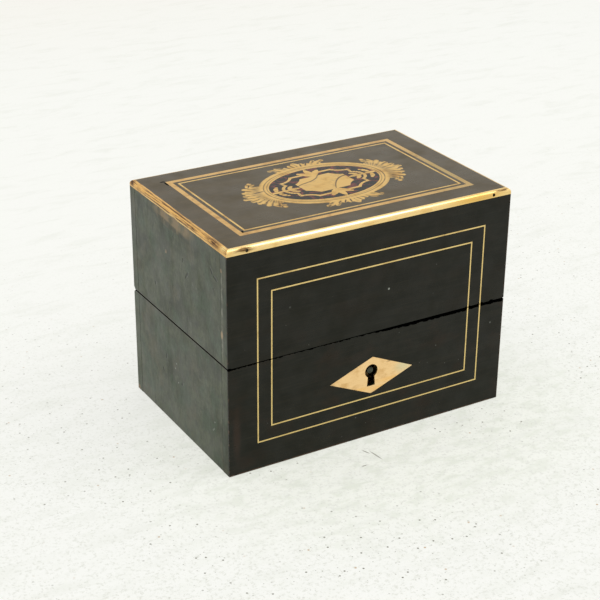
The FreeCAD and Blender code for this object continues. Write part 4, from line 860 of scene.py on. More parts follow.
@dataclass(frozen=True)
class CrimsonPaper(Finish):
    """Paper pasted over thin wood: matt, fibrous, rubbed to brown along its upper edge."""

    tone: Tone = (0.1750, 0.0120, 0.0150)
    fibre: Tone = (0.2700, 0.0450, 0.0400)
    rubbed: Tone = (0.2600, 0.1500, 0.0800)
    top: float = 35.0

    def lay(self, bench: FinishBench) -> None:
        """Lays fibres and the rubbed edge.

        Args:
            bench: the material's bench.
        """
        threads = bench.cloud((1.4, 1.4, 0.25), 2.0, 4.0)
        bench.colour = self.tone
        bench.paint(self.fibre, threads.window(0.48, 0.72, 0.0, 0.7))
        ragged = bench.cloud(1.7, 5.0, 4.0).window(0.42, 0.62)
        bench.paint(self.rubbed, bench.up.near(self.top, 0.8) * ragged)
        bench.emboss(threads, 0.03, 0.5)
        bench.shade(Roughness=threads.window(0.3, 0.7, 0.60, 0.80))


@dataclass(frozen=True)
class CutGlass(Finish):
    """Clear cut glass with slight waves and smears, ground where plug and neck meet."""

    ground_low: float
    ground_high: float
    tone: Tone = (0.955, 0.985, 0.970)
    thick: Tone = (0.930, 0.975, 0.955)

    def lay(self, bench: FinishBench) -> None:
        """Lays clear glass, smears, waves and the ground band.

        Args:
            bench: the material's bench.
        """
        smear = bench.cloud((6.0, 6.0, 9.0), 3.0, 4.0).window(0.42, 0.75, 0.0, 0.06)
        ground = (bench.up.window(self.ground_low - 0.4, self.ground_low)
                  * bench.up.window(self.ground_high + 0.2, self.ground_high))
        bench.colour = self.tone
        bench.paint(self.thick, bench.cloud(18.0, 2.0, 1.0).window(0.4, 0.7))
        bench.emboss(bench.cloud(7.0, 5.0, 1.0), 0.10, 0.4)
        bench.shade(Roughness=smear + ground * 0.35, IOR=1.52, Transmission_Weight=1.0)


@dataclass(frozen=True)
class PlasterFloor(Finish):
    """The studio's pale plastered board: trowel marks, fine grit, a few specks of dirt, and painted shade
    round the casket's foot.
    """

    name: str = "pale_plaster"
    tone: Tone = (0.985, 0.990, 0.945)
    low: Tone = (0.900, 0.912, 0.850)
    far: Tone = (0.970, 0.930, 0.855)
    # foot and shaded are painted shade round the casket.
    foot: Tone = (0.965, 0.980, 0.900)
    shaded: Tone = (0.835, 0.865, 0.765)
    pit: Tone = (0.820, 0.830, 0.765)
    dirt: Tone = (0.240, 0.230, 0.190)
    rust: Tone = (0.560, 0.380, 0.220)
    whiteness: float = 0.64
    scores: tuple[tuple[Pair, Pair], ...] = (
        ((-6.5, -51.2), (-5.3, -61.2)), ((-9.0, -49.5), (-7.2, -54.4)), ((-16.0, -60.7), (-12.5, -60.5)))

    def lay(self, bench: FinishBench) -> None:
        """Lays plaster, painted shade round the casket, grit, specks and scores.

        Args:
            bench: the material's bench.
        """
        sharp = bench.back.window(260.0, -120.0, 0.10, 1.0)
        trowel = bench.cloud((30.0, 9.0, 10.0), 1.0, 6.0, 0.62, 0.5)
        grit = bench.cloud(1.2, 2.0, 3.0, 0.7)
        beside = bench.spot((8.0, -40.0, 0.0), (135.0, 95.0, 50.0), 0.6)
        bench.colour = self.tone
        # Painted shade: a darker, greener floor round the casket's foot, mottled with deeper shade.
        bench.paint(self.foot, beside)
        bench.paint(self.low, trowel.window(0.48, 0.74, 0.0, 0.7))
        mottled = bench.cloud((9.0, 5.0, 5.0), 4.0, 5.0, 0.65, 0.4)
        bench.paint(self.shaded, (mottled.window(0.44, 0.66) * beside.scaled(0.75, 0.15)) * sharp)
        bench.paint(self.pit, grit.window(0.50, 0.68) * sharp)
        bench.paint(self.far, bench.back.window(380.0, 1100.0))
        sparse = bench.cloud(45.0, 6.0, 2.0).window(0.40, 0.60) * sharp
        for size, share, tone, strength in ((5.5, 0.062, self.dirt, 0.55), (11.0, 0.048, self.dirt, 0.95),
                                            (27.0, 0.022, self.rust, 0.80)):
            bench.paint(tone, (bench.specks(size, share, size, True) * sparse) * strength)
        scores = (bench.stroke(bench.at, *ends, 0.50) for ends in self.scores)
        bench.paint(self.dirt, bench.most(*scores) * 0.7)
        bench.emboss(trowel, 0.30, 0.35)
        bench.emboss(grit, 0.10, 0.5)
        bench.shade(Roughness=0.80, IOR=1.3, Specular_IOR_Level=0.10)
        self.whiten(bench)

    def whiten(self, bench: FinishBench) -> None:
        """Lets the floor glow a little where it is seen or mirrored, so that its shadows stay faint.

        Args:
            bench: the material's bench, with its shader made.
        """
        path = bench.node("LightPath", {})
        seen = bench.most(*(Field(bench, path.outputs[ray]) for ray in SEEN_RAYS))
        glow = bench.result("Emission", {"Color": bench.colour})
        surface = bench.output.inputs["Surface"]
        lit = Field(bench, surface.links[0].from_socket)
        bench.feed(surface, bench.result("MixShader", {0: seen * self.whiteness, 1: lit, 2: glow}))


def tidy_shading() -> bpy.types.NodeTree:
    """A geometry group that joins a CAD mesh's loose triangles and keeps its corners crisp.

    Returns:
        The node group.
    """
    group = bpy.data.node_groups.new("crisp_corners", "GeometryNodeTree")
    group.interface.new_socket("Geometry", in_out="INPUT", socket_type="NodeSocketGeometry")
    group.interface.new_socket("Geometry", in_out="OUTPUT", socket_type="NodeSocketGeometry")
    kinds = ("NodeGroupInput", "GeometryNodeMergeByDistance", "GeometryNodeRemoveAttribute",
             "GeometryNodeSetShadeSmooth", "GeometryNodeSetShadeSmooth", "NodeGroupOutput")
    chain = [group.nodes.new(kind) for kind in kinds]
    chain[1].inputs["Distance"].default_value = WELD * MM
    chain[2].inputs["Name"].default_value = "custom_normal"
    chain[3].domain = "FACE"
    chain[4].domain = "EDGE"
    chain[4].inputs["Shade Smooth"].default_value = False
    angle = group.nodes.new("GeometryNodeInputMeshEdgeAngle")
    sharp = group.nodes.new("FunctionNodeCompare")
    sharp.operation = "GREATER_THAN"
    sharp.inputs[1].default_value = math.radians(CRISP_ANGLE)
    group.links.new(angle.outputs[0], sharp.inputs[0])
    group.links.new(sharp.outputs[0], chain[4].inputs["Selection"])
    for before, after in zip(chain, chain[1:]):
        group.links.new(before.outputs[0], after.inputs[0])
    return group


@dataclass
class Bench:
    """Where finished CAD pieces are dressed."""

    crisp: bpy.types.NodeTree

    def dress(self, node: str, finish: bpy.types.Material, edge: float = 0.0, steps: int = 2) -> None:
        """Gives a CAD piece its finish, and eased edges where they have a width.

        Args:
            node: the piece's name.
            finish: its material.
            edge: the width of its eased edges in millimetres.
            steps: the faces across an eased edge.
        """
        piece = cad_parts[node]
        piece.data.materials.clear()
        piece.data.materials.append(finish)
        if edge:
            joined = piece.modifiers.new("joined corners", "NODES")
            joined.node_group = self.crisp
            eased = piece.modifiers.new("eased edges", "BEVEL")
            eased.width = edge * MM
            eased.segments = steps
            eased.limit_method = "ANGLE"
            eased.angle_limit = math.radians(EASED_ANGLE)
            level = piece.modifiers.new("level faces", "WEIGHTED_NORMAL")
            level.keep_sharp = True
        LOG.info("%s wears %s", node, finish.name)

    def new_piece(self, name: str, mesh: bmesh.types.BMesh, finish: bpy.types.Material) -> bpy.types.Object:
        """Turns a bmesh into an object at the origin.

        Args:
            name: the piece's name.
            mesh: its mesh, in place, in metres. It is freed.
            finish: its material.

        Returns:
            The new object.
        """
        data = bpy.data.meshes.new(name)
        for face in mesh.faces:
            face.smooth = True
        mesh.to_mesh(data)
        mesh.free()
        data.materials.append(finish)
        piece = bpy.data.objects.new(name, data)
        bpy.context.scene.collection.objects.link(piece)
        LOG.info("%s made, %d faces", name, len(data.polygons))
        return piece

    def thicken(self, piece: bpy.types.Object, thickness: float, side: float, even: bool) -> None:
        """Gives a cloth its thickness.

        Args:
            piece: the cloth.
            thickness: how thick it is in millimetres.
            side: 1 to thicken along its normals, -1 against them.
            even: whether it keeps its thickness round corners.
        """
        cloth = piece.modifiers.new("cloth", "SOLIDIFY")
        cloth.thickness = thickness * MM
        cloth.offset = side
        cloth.use_even_offset = even


@dataclass
class Carcase:
    """The boards of base and lid, with the veneer on front and top."""

    bench: Bench
    board_edge: float = 0.22
    veneer_edge: float = 0.08

    def dress(self) -> None:
        """Dresses boards and veneers."""
        sides = {"front": Grain.ACROSS, "back": Grain.ACROSS, "left": Grain.UP, "right": Grain.UP}
        for half, seed in (("base", 0.0), ("lid", 6.0)):
            for side, grain in sides.items():
                finish = BlackedBoard(f"blacked_{half}_{side}", grain, seed + 2.0 * len(side)).make()
                self.bench.dress(f"{half}_{side}_board", finish, self.board_edge)
        bottom = BlackedBoard("blacked_bottom", Grain.ACROSS, 3.0)
        self.bench.dress("base_bottom_board", bottom.make(), self.board_edge)
        self.bench.dress("lid_top_board", BlackedBoard("blacked_top", Grain.ACROSS, 5.0).make())
        for half, seed, warmth in (("base", 1.0, 0.55), ("lid", 4.0, 0.20)):
            finish = EbonyPolish(f"ebony_{half}_front", seed, warmth=warmth).make()
            self.bench.dress(f"{half}_front_veneer", finish, self.veneer_edge, 1)
        top = EbonyPolish("ebony_lid_top", 8.0, deep=(0.0500, 0.0345, 0.0090),
                          streak=(0.0760, 0.0530, 0.0170), russet=(0.0820, 0.0500, 0.0160), gloss=0.26,
                          level=0.25, upright=False, reflection=(0.980, 0.930, 0.850))
        self.bench.dress("top_veneer", top.make())


@dataclass
class BrassWork:
    """Strings, bands, cartouche, moulding and escutcheon."""

    bench: Bench

    def dress(self) -> None:
        """Dresses every brass inlay and the shell ground."""
        string = WornBrass("string_brass", Grain.ACROSS, 2.0, (0.82, 0.62, 0.26), (0.64, 0.46, 0.18),
                           (0.30, 0.20, 0.08), 0.15).make()
        for half in ("base", "lid"):
            self.bench.dress(f"{half}_strings", string)
        duller = ((54.0, -12.0, TOP), (44.0, 46.0, 5.0), (0.450, 0.305, 0.098))
        for kind, seed, bright, dull, cover, tinted in (
                ("band", 5.0, (0.66, 0.405, 0.125), (0.46, 0.26, 0.080), 0.40, (duller,)),
                ("line", 6.0, (0.74, 0.490, 0.150), (0.50, 0.30, 0.090), 0.30, ())):
            strip = WornBrass(f"{kind}_brass", Grain.ACROSS, seed, bright, dull, cover=cover,
                              tints_and_painted_highlights=tinted)
            self.bench.dress(f"top_{kind}", strip.make())
        for node, seed, cut in (("inlay_oval_frame", 9.0, Engraving.OVAL),
                                ("inlay_plaque", 11.0, Engraving.PLAQUE),
                                ("inlay_ribbon", 13.0, Engraving.RIBBON)):
            finish = WornBrass(f"cartouche_{cut.value}", Grain.ACROSS, seed, cover=0.20, gloss=0.28,
                               engraving=cut)
            self.bench.dress(node, finish.make())
        self.bench.dress("shell_ground", Tortoiseshell("red_shell").make())
        self.dress_moulding()
        self.dress_escutcheon()

    def dress_moulding(self) -> None:
        """Dresses the four strips of moulding and their pins, each side's brass toned lighter or darker as
        light falls there, with painted highlights.
        """
        worn = {
            "front": (((-57.5, -41.5, 95.5), (6.5, 2.0, 1.6)), ((61.0, -41.5, 96.2), (7.0, 1.2, 0.8))),
            "left": (((-64.5, -30.5, 95.8), (2.0, 8.0, 1.9)), ((-64.5, 40.0, 95.6), (2.0, 3.0, 2.2)),
                     ((LEFT, 4.0, 94.75), (2.0, 44.0, 0.50)), ((-64.3, 2.0, 96.3), (1.0, 44.0, 0.30)),
                     ((-64.8, -14.0, 95.5), (2.0, 6.0, 0.7))),
            "right": (((64.5, 20.0, 95.5), (2.0, 9.0, 1.2)),),
        }
        # Painted highlights along the rounds of the front and left mouldings, and a deeper gold on the right
        # of the front: centre, radii, tone.
        painted_light_places = {
            "front": (((-14.0, -41.3, 95.9), (52.0, 1.1, 0.65), (1.00, 0.90, 0.58)),
                      ((48.0, FRONT, 95.2), (20.0, 3.0, 3.0), (0.80, 0.50, 0.13))),
            "left": (((LEFT, 2.0, 94.1), (2.0, 34.0, 0.9), (0.90, 0.62, 0.24)),
                     ((-64.4, -38.5, 96.0), (2.0, 3.0, 1.6), (0.90, 0.66, 0.28))),
        }
        # Painted light: each side's brass gets its own tone, lighter or darker as light falls on that side,
        # brightest at the front and darkest at the back.
        lit_side_tones = {
            "front": ((0.93, 0.68, 0.30), (0.80, 0.52, 0.18), (0.15, 0.08, 0.030)),
            "back": ((0.60, 0.38, 0.100), (0.40, 0.25, 0.070), (0.12, 0.07, 0.022)),
            "left": ((0.78, 0.46, 0.145), (0.52, 0.30, 0.095), (0.120, 0.064, 0.036)),
            "right": ((0.78, 0.52, 0.17), (0.56, 0.34, 0.11), (0.12, 0.07, 0.026)),
        }
        for number, (side, (bright, dull, tarnish)) in enumerate(lit_side_tones.items()):
            grain = Grain.ACROSS if side in ("front", "back") else Grain.DEEP
            finish = WornBrass(f"moulding_brass_{side}", grain, 15.0 + number, bright, dull, tarnish,
                               cover=0.05 if side == "front" else 0.20, gloss=0.18,
                               worn_places=worn.get(side, ()), tints_and_painted_highlights=painted_light_places.get(side, ()),
                               streaks=0.85 if side == "left" else 0.15)
            self.bench.dress(f"moulding_{side}", finish.make())
        iron = FiledMetal("pin_iron", (0.075, 0.060, 0.048), (0.022, 0.016, 0.012), gloss=0.45)
        self.bench.dress("moulding_pins", iron.make())

    def dress_escutcheon(self) -> None:
        """Dresses the keyhole plate: brushed pale metal, silvery at one tip and dark at the other."""
        silvery = ((15.5, FRONT, 28.5), (6.5, 1.0, 4.0), (0.800, 0.680, 0.410))
        golden = tuple(((across, FRONT, up), (8.5, 1.0, 1.5), (0.980, 0.610, 0.240))
                       for across, up in ((-6.0, 22.6), (4.0, 21.6), (9.0, 24.4)))
        worn = tuple(((across, -41.5, up), (wide, 1.0, high)) for across, up, wide, high in (
            (-18.8, 27.6, 2.8, 2.0), (-13.5, 25.0, 3.0, 0.8), (-8.5, 23.2, 2.6, 0.7),
            (1.0, 19.8, 3.0, 0.9), (8.5, 32.4, 2.5, 0.5)))
        pale = WornBrass("escutcheon_pale", Grain.ACROSS, 21.0, (0.985, 0.680, 0.345),
                         (0.760, 0.480, 0.200), (0.240, 0.130, 0.055), 0.20, 0.30, worn_places=worn,
                         tints_and_painted_highlights=(silvery, *golden), scratches=0.8)
        self.bench.dress("escutcheon", pale.make())


@dataclass
class Fittings:
    """The lock, its striker and the hinges."""

    bench: Bench

    def dress(self) -> None:
        """Dresses lock and hinges."""
        brass = FiledMetal("fitting_brass", (0.60, 0.42, 0.18), (0.26, 0.16, 0.06))
        screw = FiledMetal("screw_brass", (0.52, 0.36, 0.15), (0.18, 0.11, 0.045), Grain.DEEP, 0.36)
        iron = FiledMetal("filed_iron", (0.34, 0.32, 0.29), (0.10, 0.075, 0.055), gloss=0.34)
        dark = FiledMetal("worn_iron", (0.085, 0.092, 0.070), (0.035, 0.035, 0.026), gloss=0.40,
                          hole_shade=(0.0, 0.0, 900.0))
        for metal, nodes in (
                (brass, ("lock_plate", "lock_case", "striker_plate", "hinge_base_leaves",
                         "hinge_lid_leaves")),
                (screw, ("lock_screws", "striker_screws", "hinge_base_screws", "hinge_lid_screws")),
                (iron, ("bolt_spring", "lock_bolt", "hinge_pins")),
                (dark, ("drill_pin",))):
            finish = metal.make()
            for node in nodes:
                self.bench.dress(node, finish)


@dataclass
class Dividers:
    """The half-lapped dividers under crimson paper."""

    bench: Bench
    edge: float = 0.35

    def dress(self) -> None:
        """Dresses both dividers."""
        paper = CrimsonPaper("divider_paper").make()
        for node in ("divider_long", "divider_crosses"):
            self.bench.dress(node, paper, self.edge, 3)


@dataclass
class Bottles:
    """Six square bottles and their cut stoppers."""

    bench: Bench
    foot: float = 5.0
    neck_low: float = 47.0
    neck_high: float = 54.0
    no_ground: Pair = (900.0, 901.0)

    def dress(self) -> None:
        """Dresses bottles and stoppers."""
        low, high = self.foot + self.neck_low, self.foot + self.neck_high
        glass = CutGlass("bottle_glass", *self.no_ground).make()
        cut = CutGlass("stopper_glass", low, high, (0.965, 0.985, 0.980)).make()
        for row in ROWS:
            for column in COLUMNS:
                self.bench.dress(f"bottle_{row}_{column}", glass, 0.30)
                self.bench.dress(f"stopper_{row}_{column}", cut, 0.12)


@dataclass
class WallSilk:
    """Silk stretched over a sleeve of four walls, with soft upright puckers."""

    bench: Bench
    name: str
    node: str
    body: str
    slot: str = "silk"
    cell: float = 1.25
    thickness: float = 0.45
    pucker: float = 0.16
    pucker_step: float = 4.6
    sway: float = 1.9
    sway_size: float = 11.0
    uneven_size: float = 19.0
    hem: float = 1 / 9
    window: tuple[float, float] | None = None

    def panel(self, mesh: bmesh.types.BMesh, width: float, height: float, place: Matrix) -> None:
        """Adds one wall's cloth.

        Args:
            mesh: the mesh that it goes into.
            width: the wall's width in metres.
            height: the wall's height in metres.
            place: where the wall stands. Its own Z points into the box.
        """
        across = max(2, round(width / (self.cell * MM)))
        up = max(2, round(height / (self.cell * MM)))
        size = Matrix.Diagonal((width, height, 1.0, 1.0))
        bmesh.ops.create_grid(mesh, x_segments=across, y_segments=up, size=0.5, matrix=place @ size)

    def build(self) -> bpy.types.Object:
        """Builds the sleeve.

        Returns:
            The new piece, riding in its node's place.
        """
        low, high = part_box(self.node)
        middle, span = (low + high) / 2, high - low
        mesh = bmesh.new()
        height = span.z
        for quarter in range(4):
            width, reach = (span.y, span.x) if quarter % 2 else (span.x, span.y)
            upright = Euler((math.radians(90), 0, math.radians(90 * quarter))).to_matrix().to_4x4()
            away = upright @ Vector((0, 0, -reach / 2 + 0.02 * MM, 1))
            self.panel(mesh, width, height, Matrix.Translation(middle + away.xyz) @ upright)
        bmesh.ops.remove_doubles(mesh, verts=mesh.verts, dist=0.06 * MM)
        self.open_window(mesh, low)
        bmesh.ops.recalc_face_normals(mesh, faces=mesh.faces)
        self.gather(mesh, low, high)
        silk = CrimsonSilk(f"{self.name}_cloth", Grain.UP).make()
        piece = self.bench.new_piece(self.name, mesh, silk)
        self.bench.thicken(piece, self.thickness, 1.0, True)
        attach(piece, self.body)
        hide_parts(self.node)
        area = 2 * (span.x + span.y) * height
        if self.window:
            area -= 2 * self.window[0] * MM * (high.z - self.window[1] * MM)
        return piece

    def open_window(self, mesh: bmesh.types.BMesh, low: Vector) -> None:
        """Cuts the cloth away round the lock's plate.

        Args:
            mesh: the sleeve.
            low: its lowest corner.
        """
        if not self.window:
            return
        half, foot = self.window[0] * MM, self.window[1] * MM
        for point, normal in (((-half, 0, 0), (1, 0, 0)), ((half, 0, 0), (1, 0, 0)),
                              ((0, 0, foot), (0, 0, 1))):
            bmesh.ops.bisect_plane(mesh, geom=mesh.verts[:] + mesh.edges[:] + mesh.faces[:], dist=0.01 * MM,
                                   plane_co=point, plane_no=normal)
        middles = ((face, face.calc_center_median()) for face in mesh.faces)
        gone = [face for face, at in middles if abs(at.x) < half and at.z > foot and at.y < low.y + 1 * MM]
        bmesh.ops.delete(mesh, geom=gone, context="FACES")

    def gather(self, mesh: bmesh.types.BMesh, low: Vector, high: Vector) -> None:
        """Draws the cloth into shallow upright puckers, flat along its two edges.

        Args:
            mesh: the sleeve.
            low: its lowest corner.
            high: its highest corner.
        """
        middle = (low + high) / 2
        for vert in mesh.verts:
            level = (vert.co.z - low.z) / (high.z - low.z)
            flat = min(1.0, min(level, 1.0 - level) / self.hem)
            run, out = (1, 0) if min(vert.co.x - low.x, high.x - vert.co.x) < CLOSE * MM else (0, 1)
            if middle[run] - low[run] - abs(vert.co[run] - middle[run]) < CLOSE * MM:
                continue
            sway = noise.noise(vert.co / (self.sway_size * MM)) * self.sway
            wave = 0.5 + 0.5 * math.sin(2 * math.pi * vert.co[run] / (self.pucker_step * MM) + sway)
            inward = Vector((0, 0, 0))
            inward[out] = -math.copysign(1, vert.co[out] - middle[out])
            uneven = 0.6 + 0.4 * noise.noise(vert.co / (self.uneven_size * MM) + Vector((3, 1, 2)))
            vert.co += inward * wave * flat * self.pucker * MM * uneven


@dataclass
class FloorSilk:
    """Silk laid on the base's floor, pressed flat under bottles and dividers."""

    bench: Bench
    cell: float = 1.6
    thickness: float = 0.45
    dip: float = 0.10
    dip_size: float = 9.0

    def build(self) -> bpy.types.Object:
        """Builds the cloth on the floor.

        Returns:
            The new piece.
        """
        low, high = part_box("floor_lining")
        middle, span = (low + high) / 2, high - low
        mesh = bmesh.new()
        level = Matrix.Translation(Vector((middle.x, middle.y, high.z - 0.03 * MM)))
        place = level @ Matrix.Diagonal((span.x, span.y, 1.0, 1.0))
        bmesh.ops.create_grid(mesh, x_segments=round(span.x / (self.cell * MM)),
                              y_segments=round(span.y / (self.cell * MM)), size=0.5, matrix=place)
        for vert in mesh.verts:
            vert.co.z -= self.dip * MM * (0.5 + 0.5 * noise.noise(vert.co / (self.dip_size * MM)))
        piece = self.bench.new_piece("floor_silk", mesh, CrimsonSilk("floor_silk_cloth", Grain.DEEP).make())
        self.bench.thicken(piece, self.thickness, -1.0, False)
        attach(piece, "base")
        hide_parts("floor_lining")
        return piece


@dataclass
class LidCushion:
    """Quilted silk over wadding under the lid's top: diamonds sewn down along their edges."""

    bench: Bench
    across: int = 5
    deep: int = 4
    cells: int = 16
    seat: float = 0.5
    drop: float = 2.05
    slack: float = 0.12
    pressure: float = 20.0
    stretch: float = 1.0
    stiffness: float = 0.1
    enlarged: float = 10.0
    frames: int = 20

    def blank(self, low: Vector, high: Vector) -> bmesh.types.BMesh:
        """A thin flat case, drawn larger than life for the simulation.

        Args:
            low: the pad's lowest corner.
            high: the pad's highest corner.

        Returns:
            The case: its upper sheet is the back, its lower one the face.
        """
        span = high - low
        mesh = bmesh.new()
        bmesh.ops.create_grid(mesh, x_segments=self.across * self.cells, y_segments=self.deep * self.cells,
                              size=0.5)
        face = bmesh.ops.extrude_face_region(mesh, geom=mesh.faces[:])
        moved = [item for item in face["geom"] if isinstance(item, bmesh.types.BMVert)]
        bmesh.ops.translate(mesh, verts=moved, vec=(0, 0, -1))
        size = Vector((span.x, span.y, self.seat * MM)) * self.enlarged
        bmesh.ops.scale(mesh, verts=mesh.verts, vec=size)
        bmesh.ops.recalc_face_normals(mesh, faces=mesh.faces)
        return mesh

    def sewn(self, point: Vector, size: Vector) -> bool:
        """Whether a point of the face is sewn down.

        Args:
            point: its place in the case.
            size: the case's width and depth.

        Returns:
            True on a seam, on the rim and on the back.
        """
        if point.z > -1e-6:
            return True
        u = (point.x / size.x + 0.5) * self.across
        v = (point.y / size.y + 0.5) * self.deep
        rim = min(u, self.across - u) < 1e-4 or min(v, self.deep - v) < 1e-4
        return rim or any(abs(line - round(line)) < 1e-3 for line in (u + v, u - v))

    def swell(self, mesh: bmesh.types.BMesh, size: Vector) -> bmesh.types.BMesh:
        """Fills the case with wadding by a cloth simulation.

        Args:
            mesh: the flat case. It is freed.
            size: its width and depth.

        Returns:
            The swollen mesh.
        """
        data = bpy.data.meshes.new("lid_cushion_case")
        mesh.to_mesh(data)
        mesh.free()
        case = bpy.data.objects.new("lid_cushion_case", data)
        bpy.context.scene.collection.objects.link(case)
        pins = case.vertex_groups.new(name="sewn")
        pins.add([vert.index for vert in data.vertices if self.sewn(vert.co, size)], 1.0, "REPLACE")
        cloth = case.modifiers.new("silk over wadding", "CLOTH")
        cloth.settings.vertex_group_mass = "sewn"
        cloth.settings.use_pressure = True
        cloth.settings.uniform_pressure_force = self.pressure
        cloth.settings.effector_weights.gravity = 0.0
        cloth.settings.shrink_min = -self.slack
        cloth.settings.tension_stiffness = self.stretch
        cloth.settings.compression_stiffness = self.stretch
        cloth.settings.bending_stiffness = self.stiffness
        cloth.point_cache.frame_end = self.frames
        for step in range(1, self.frames + 1):
            bpy.context.scene.frame_set(step)
        graph = bpy.context.evaluated_depsgraph_get()
        swollen = bpy.data.meshes.new_from_object(case.evaluated_get(graph))
        bpy.context.scene.frame_set(1)
        bpy.data.objects.remove(case)
        full = bmesh.new()
        full.from_mesh(swollen)
        return full

    def flatten(self, mesh: bmesh.types.BMesh) -> None:
        """Presses the swollen face back to its drop, where it stands prouder.

        Args:
            mesh: the cushion, still enlarged.
        """
        seat, drop = (depth * MM * self.enlarged for depth in (self.seat, self.drop))
        deepest = max(-vert.co.z - seat for vert in mesh.verts)
        for vert in mesh.verts:
            proud = -vert.co.z - seat
            if proud > 0 and deepest > drop:
                vert.co.z = -seat - proud * drop / deepest
        LOG.info("the cushion stands %.2f mm proud", min(deepest, drop) / self.enlarged / MM)

    def build(self) -> bpy.types.Object:
        """Builds the cushion.

        Returns:
            The new piece.
        """
        low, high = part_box("lid_pad")
        mesh = self.blank(low, high)
        mesh = self.swell(mesh, (high - low) * self.enlarged)
        self.flatten(mesh)
        bmesh.ops.scale(mesh, verts=mesh.verts, vec=(1 / self.enlarged,) * 3)
        middle = (low + high) / 2
        bmesh.ops.translate(mesh, verts=mesh.verts, vec=(middle.x, middle.y, high.z - 0.02 * MM))
        silk = CrimsonSilk("cushion_silk", Grain.ACROSS, (0.19, 0.006, 0.014), (0.40, 0.022, 0.036))
        piece = self.bench.new_piece("lid_cushion", mesh, silk.make())
        fine = piece.modifiers.new("fine", "SUBSURF")
        fine.levels = 1
        fine.render_levels = 1
        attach(piece, "lid")
        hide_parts("lid_pad")
        return piece


@dataclass(frozen=True)
class Viewpoint:
    """Where the photograph was taken from, worked out from the casket's own corners."""

    azimuth: float = -30.626
    elevation: float = 25.554
    roll: float = 0.484
    distance: float = 630.640
    right: float = -7.577
    rise: float = -3.674
    middle: Tone = (0.0, 0.0, 48.25)
    lens: float = 90.333
    sensor: float = 36.0
    clip: Pair = (0.01, 50.0)

    def place(self) -> bpy.types.Object:
        """Makes the camera.

        Returns:
            The camera, set as the scene's own.
        """
        turn, tilt, roll = (math.radians(angle) for angle in (self.azimuth, self.elevation, self.roll))
        back = Vector((math.sin(turn) * math.cos(tilt), -math.cos(turn) * math.cos(tilt), math.sin(tilt)))
        level = Vector((0, 0, 1)).cross(back).normalized()
        upward = back.cross(level)
        across = level * math.cos(roll) + upward * math.sin(roll)
        up = upward * math.cos(roll) - level * math.sin(roll)
        target = Vector(self.middle) + across * self.right + up * self.rise
        data = bpy.data.cameras.new("photograph")
        data.lens = self.lens
        data.sensor_width = self.sensor
        data.clip_start, data.clip_end = self.clip
        camera = bpy.data.objects.new("photograph", data)
        axes = Matrix((across, up, back)).transposed().to_4x4()
        camera.matrix_world = Matrix.Translation((target + back * self.distance) * MM) @ axes
        bpy.context.scene.collection.objects.link(camera)
        bpy.context.scene.camera = camera
        return camera


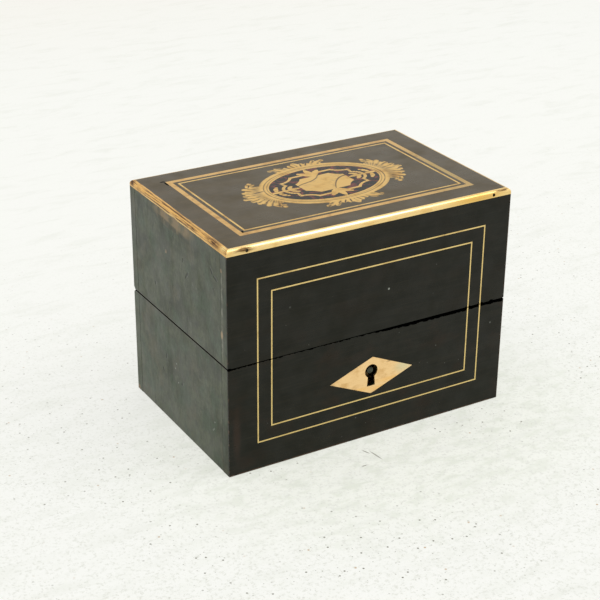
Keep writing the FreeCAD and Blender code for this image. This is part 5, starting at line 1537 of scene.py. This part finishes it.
@dataclass
class Studio:
    """Pale floor, soft lamps and a white surround."""

    floor_reach: float = 6.0
    surround: Tone = (1.0, 0.996, 0.985)
    ambient: float = 0.60
    sunk: float = 0.0002
    lamps: tuple[tuple[str, Tone, float, float], ...] = (
        ("overhead", (-0.25, -0.10, 2.40), 2.20, 17.8), ("window", (0.62, -0.42, 1.15), 0.60, 2.6))

    def build(self) -> None:
        """Makes floor, lamps and world."""
        mesh = bmesh.new()
        bmesh.ops.create_grid(mesh, x_segments=2, y_segments=2, size=self.floor_reach / 2)
        bmesh.ops.translate(mesh, verts=mesh.verts, vec=(0, 0, -self.sunk))
        data = bpy.data.meshes.new("studio_floor")
        mesh.to_mesh(data)
        mesh.free()
        data.materials.append(PlasterFloor().make())
        floor = bpy.data.objects.new("studio_floor", data)
        bpy.context.scene.collection.objects.link(floor)
        for lamp in self.lamps:
            self.lamp(*lamp)
        self.world()

    def lamp(self, name: str, place: Tone, size: float, watts: float) -> None:
        """Makes a soft lamp that looks at the casket.

        Args:
            name: its name.
            place: where it hangs, in metres.
            size: the width of its face in metres.
            watts: its power.
        """
        data = bpy.data.lights.new(name, "AREA")
        data.shape = "SQUARE"
        data.size = size
        data.energy = watts
        lamp = bpy.data.objects.new(name, data)
        look = Vector((0, 0, 0.05)) - Vector(place)
        lamp.matrix_world = Matrix.Translation(place) @ look.to_track_quat("-Z", "Y").to_matrix().to_4x4()
        bpy.context.scene.collection.objects.link(lamp)

    def world(self) -> None:
        """Makes the surround: full white where it is seen or mirrored, softer where it only lights."""
        world = bpy.data.worlds.new("surround")
        world.use_nodes = True
        tree = world.node_tree
        tree.nodes.clear()
        path = tree.nodes.new("ShaderNodeLightPath")
        seen = tree.nodes.new("ShaderNodeBackground")
        lights = tree.nodes.new("ShaderNodeBackground")
        for ground, strength in ((seen, 1.0), (lights, self.ambient)):
            ground.inputs["Color"].default_value = (*self.surround, 1.0)
            ground.inputs["Strength"].default_value = strength
        total = path.outputs[SEEN_RAYS[0]]
        for ray in SEEN_RAYS[1:]:
            step = tree.nodes.new("ShaderNodeMath")
            step.operation = "MAXIMUM"
            tree.links.new(total, step.inputs[0])
            tree.links.new(path.outputs[ray], step.inputs[1])
            total = step.outputs[0]
        mix = tree.nodes.new("ShaderNodeMixShader")
        tree.links.new(total, mix.inputs[0])
        tree.links.new(lights.outputs[0], mix.inputs[1])
        tree.links.new(seen.outputs[0], mix.inputs[2])
        output = tree.nodes.new("ShaderNodeOutputWorld")
        tree.links.new(mix.outputs[0], output.inputs["Surface"])
        bpy.context.scene.world = world


def main() -> None:
    """Builds and dresses the casket, then its studio."""
    logging.basicConfig(level=logging.INFO, format="%(name)s: %(message)s")
    bpy.context.scene.view_settings.view_transform = "Standard"
    bench = Bench(tidy_shading())
    for part in (Carcase(bench), BrassWork(bench), Fittings(bench), Dividers(bench), Bottles(bench)):
        part.dress()
    plate_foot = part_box("lock_plate")[0].z / MM
    WallSilk(bench, "base_wall_silk", "base_wall_lining", "base", window=(15.0, plate_foot)).build()
    WallSilk(bench, "lid_wall_silk", "lid_wall_lining", "lid").build()
    FloorSilk(bench).build()
    LidCushion(bench).build()
    Studio().build()
    Viewpoint().place()


if __name__ == "__main__":
    main()
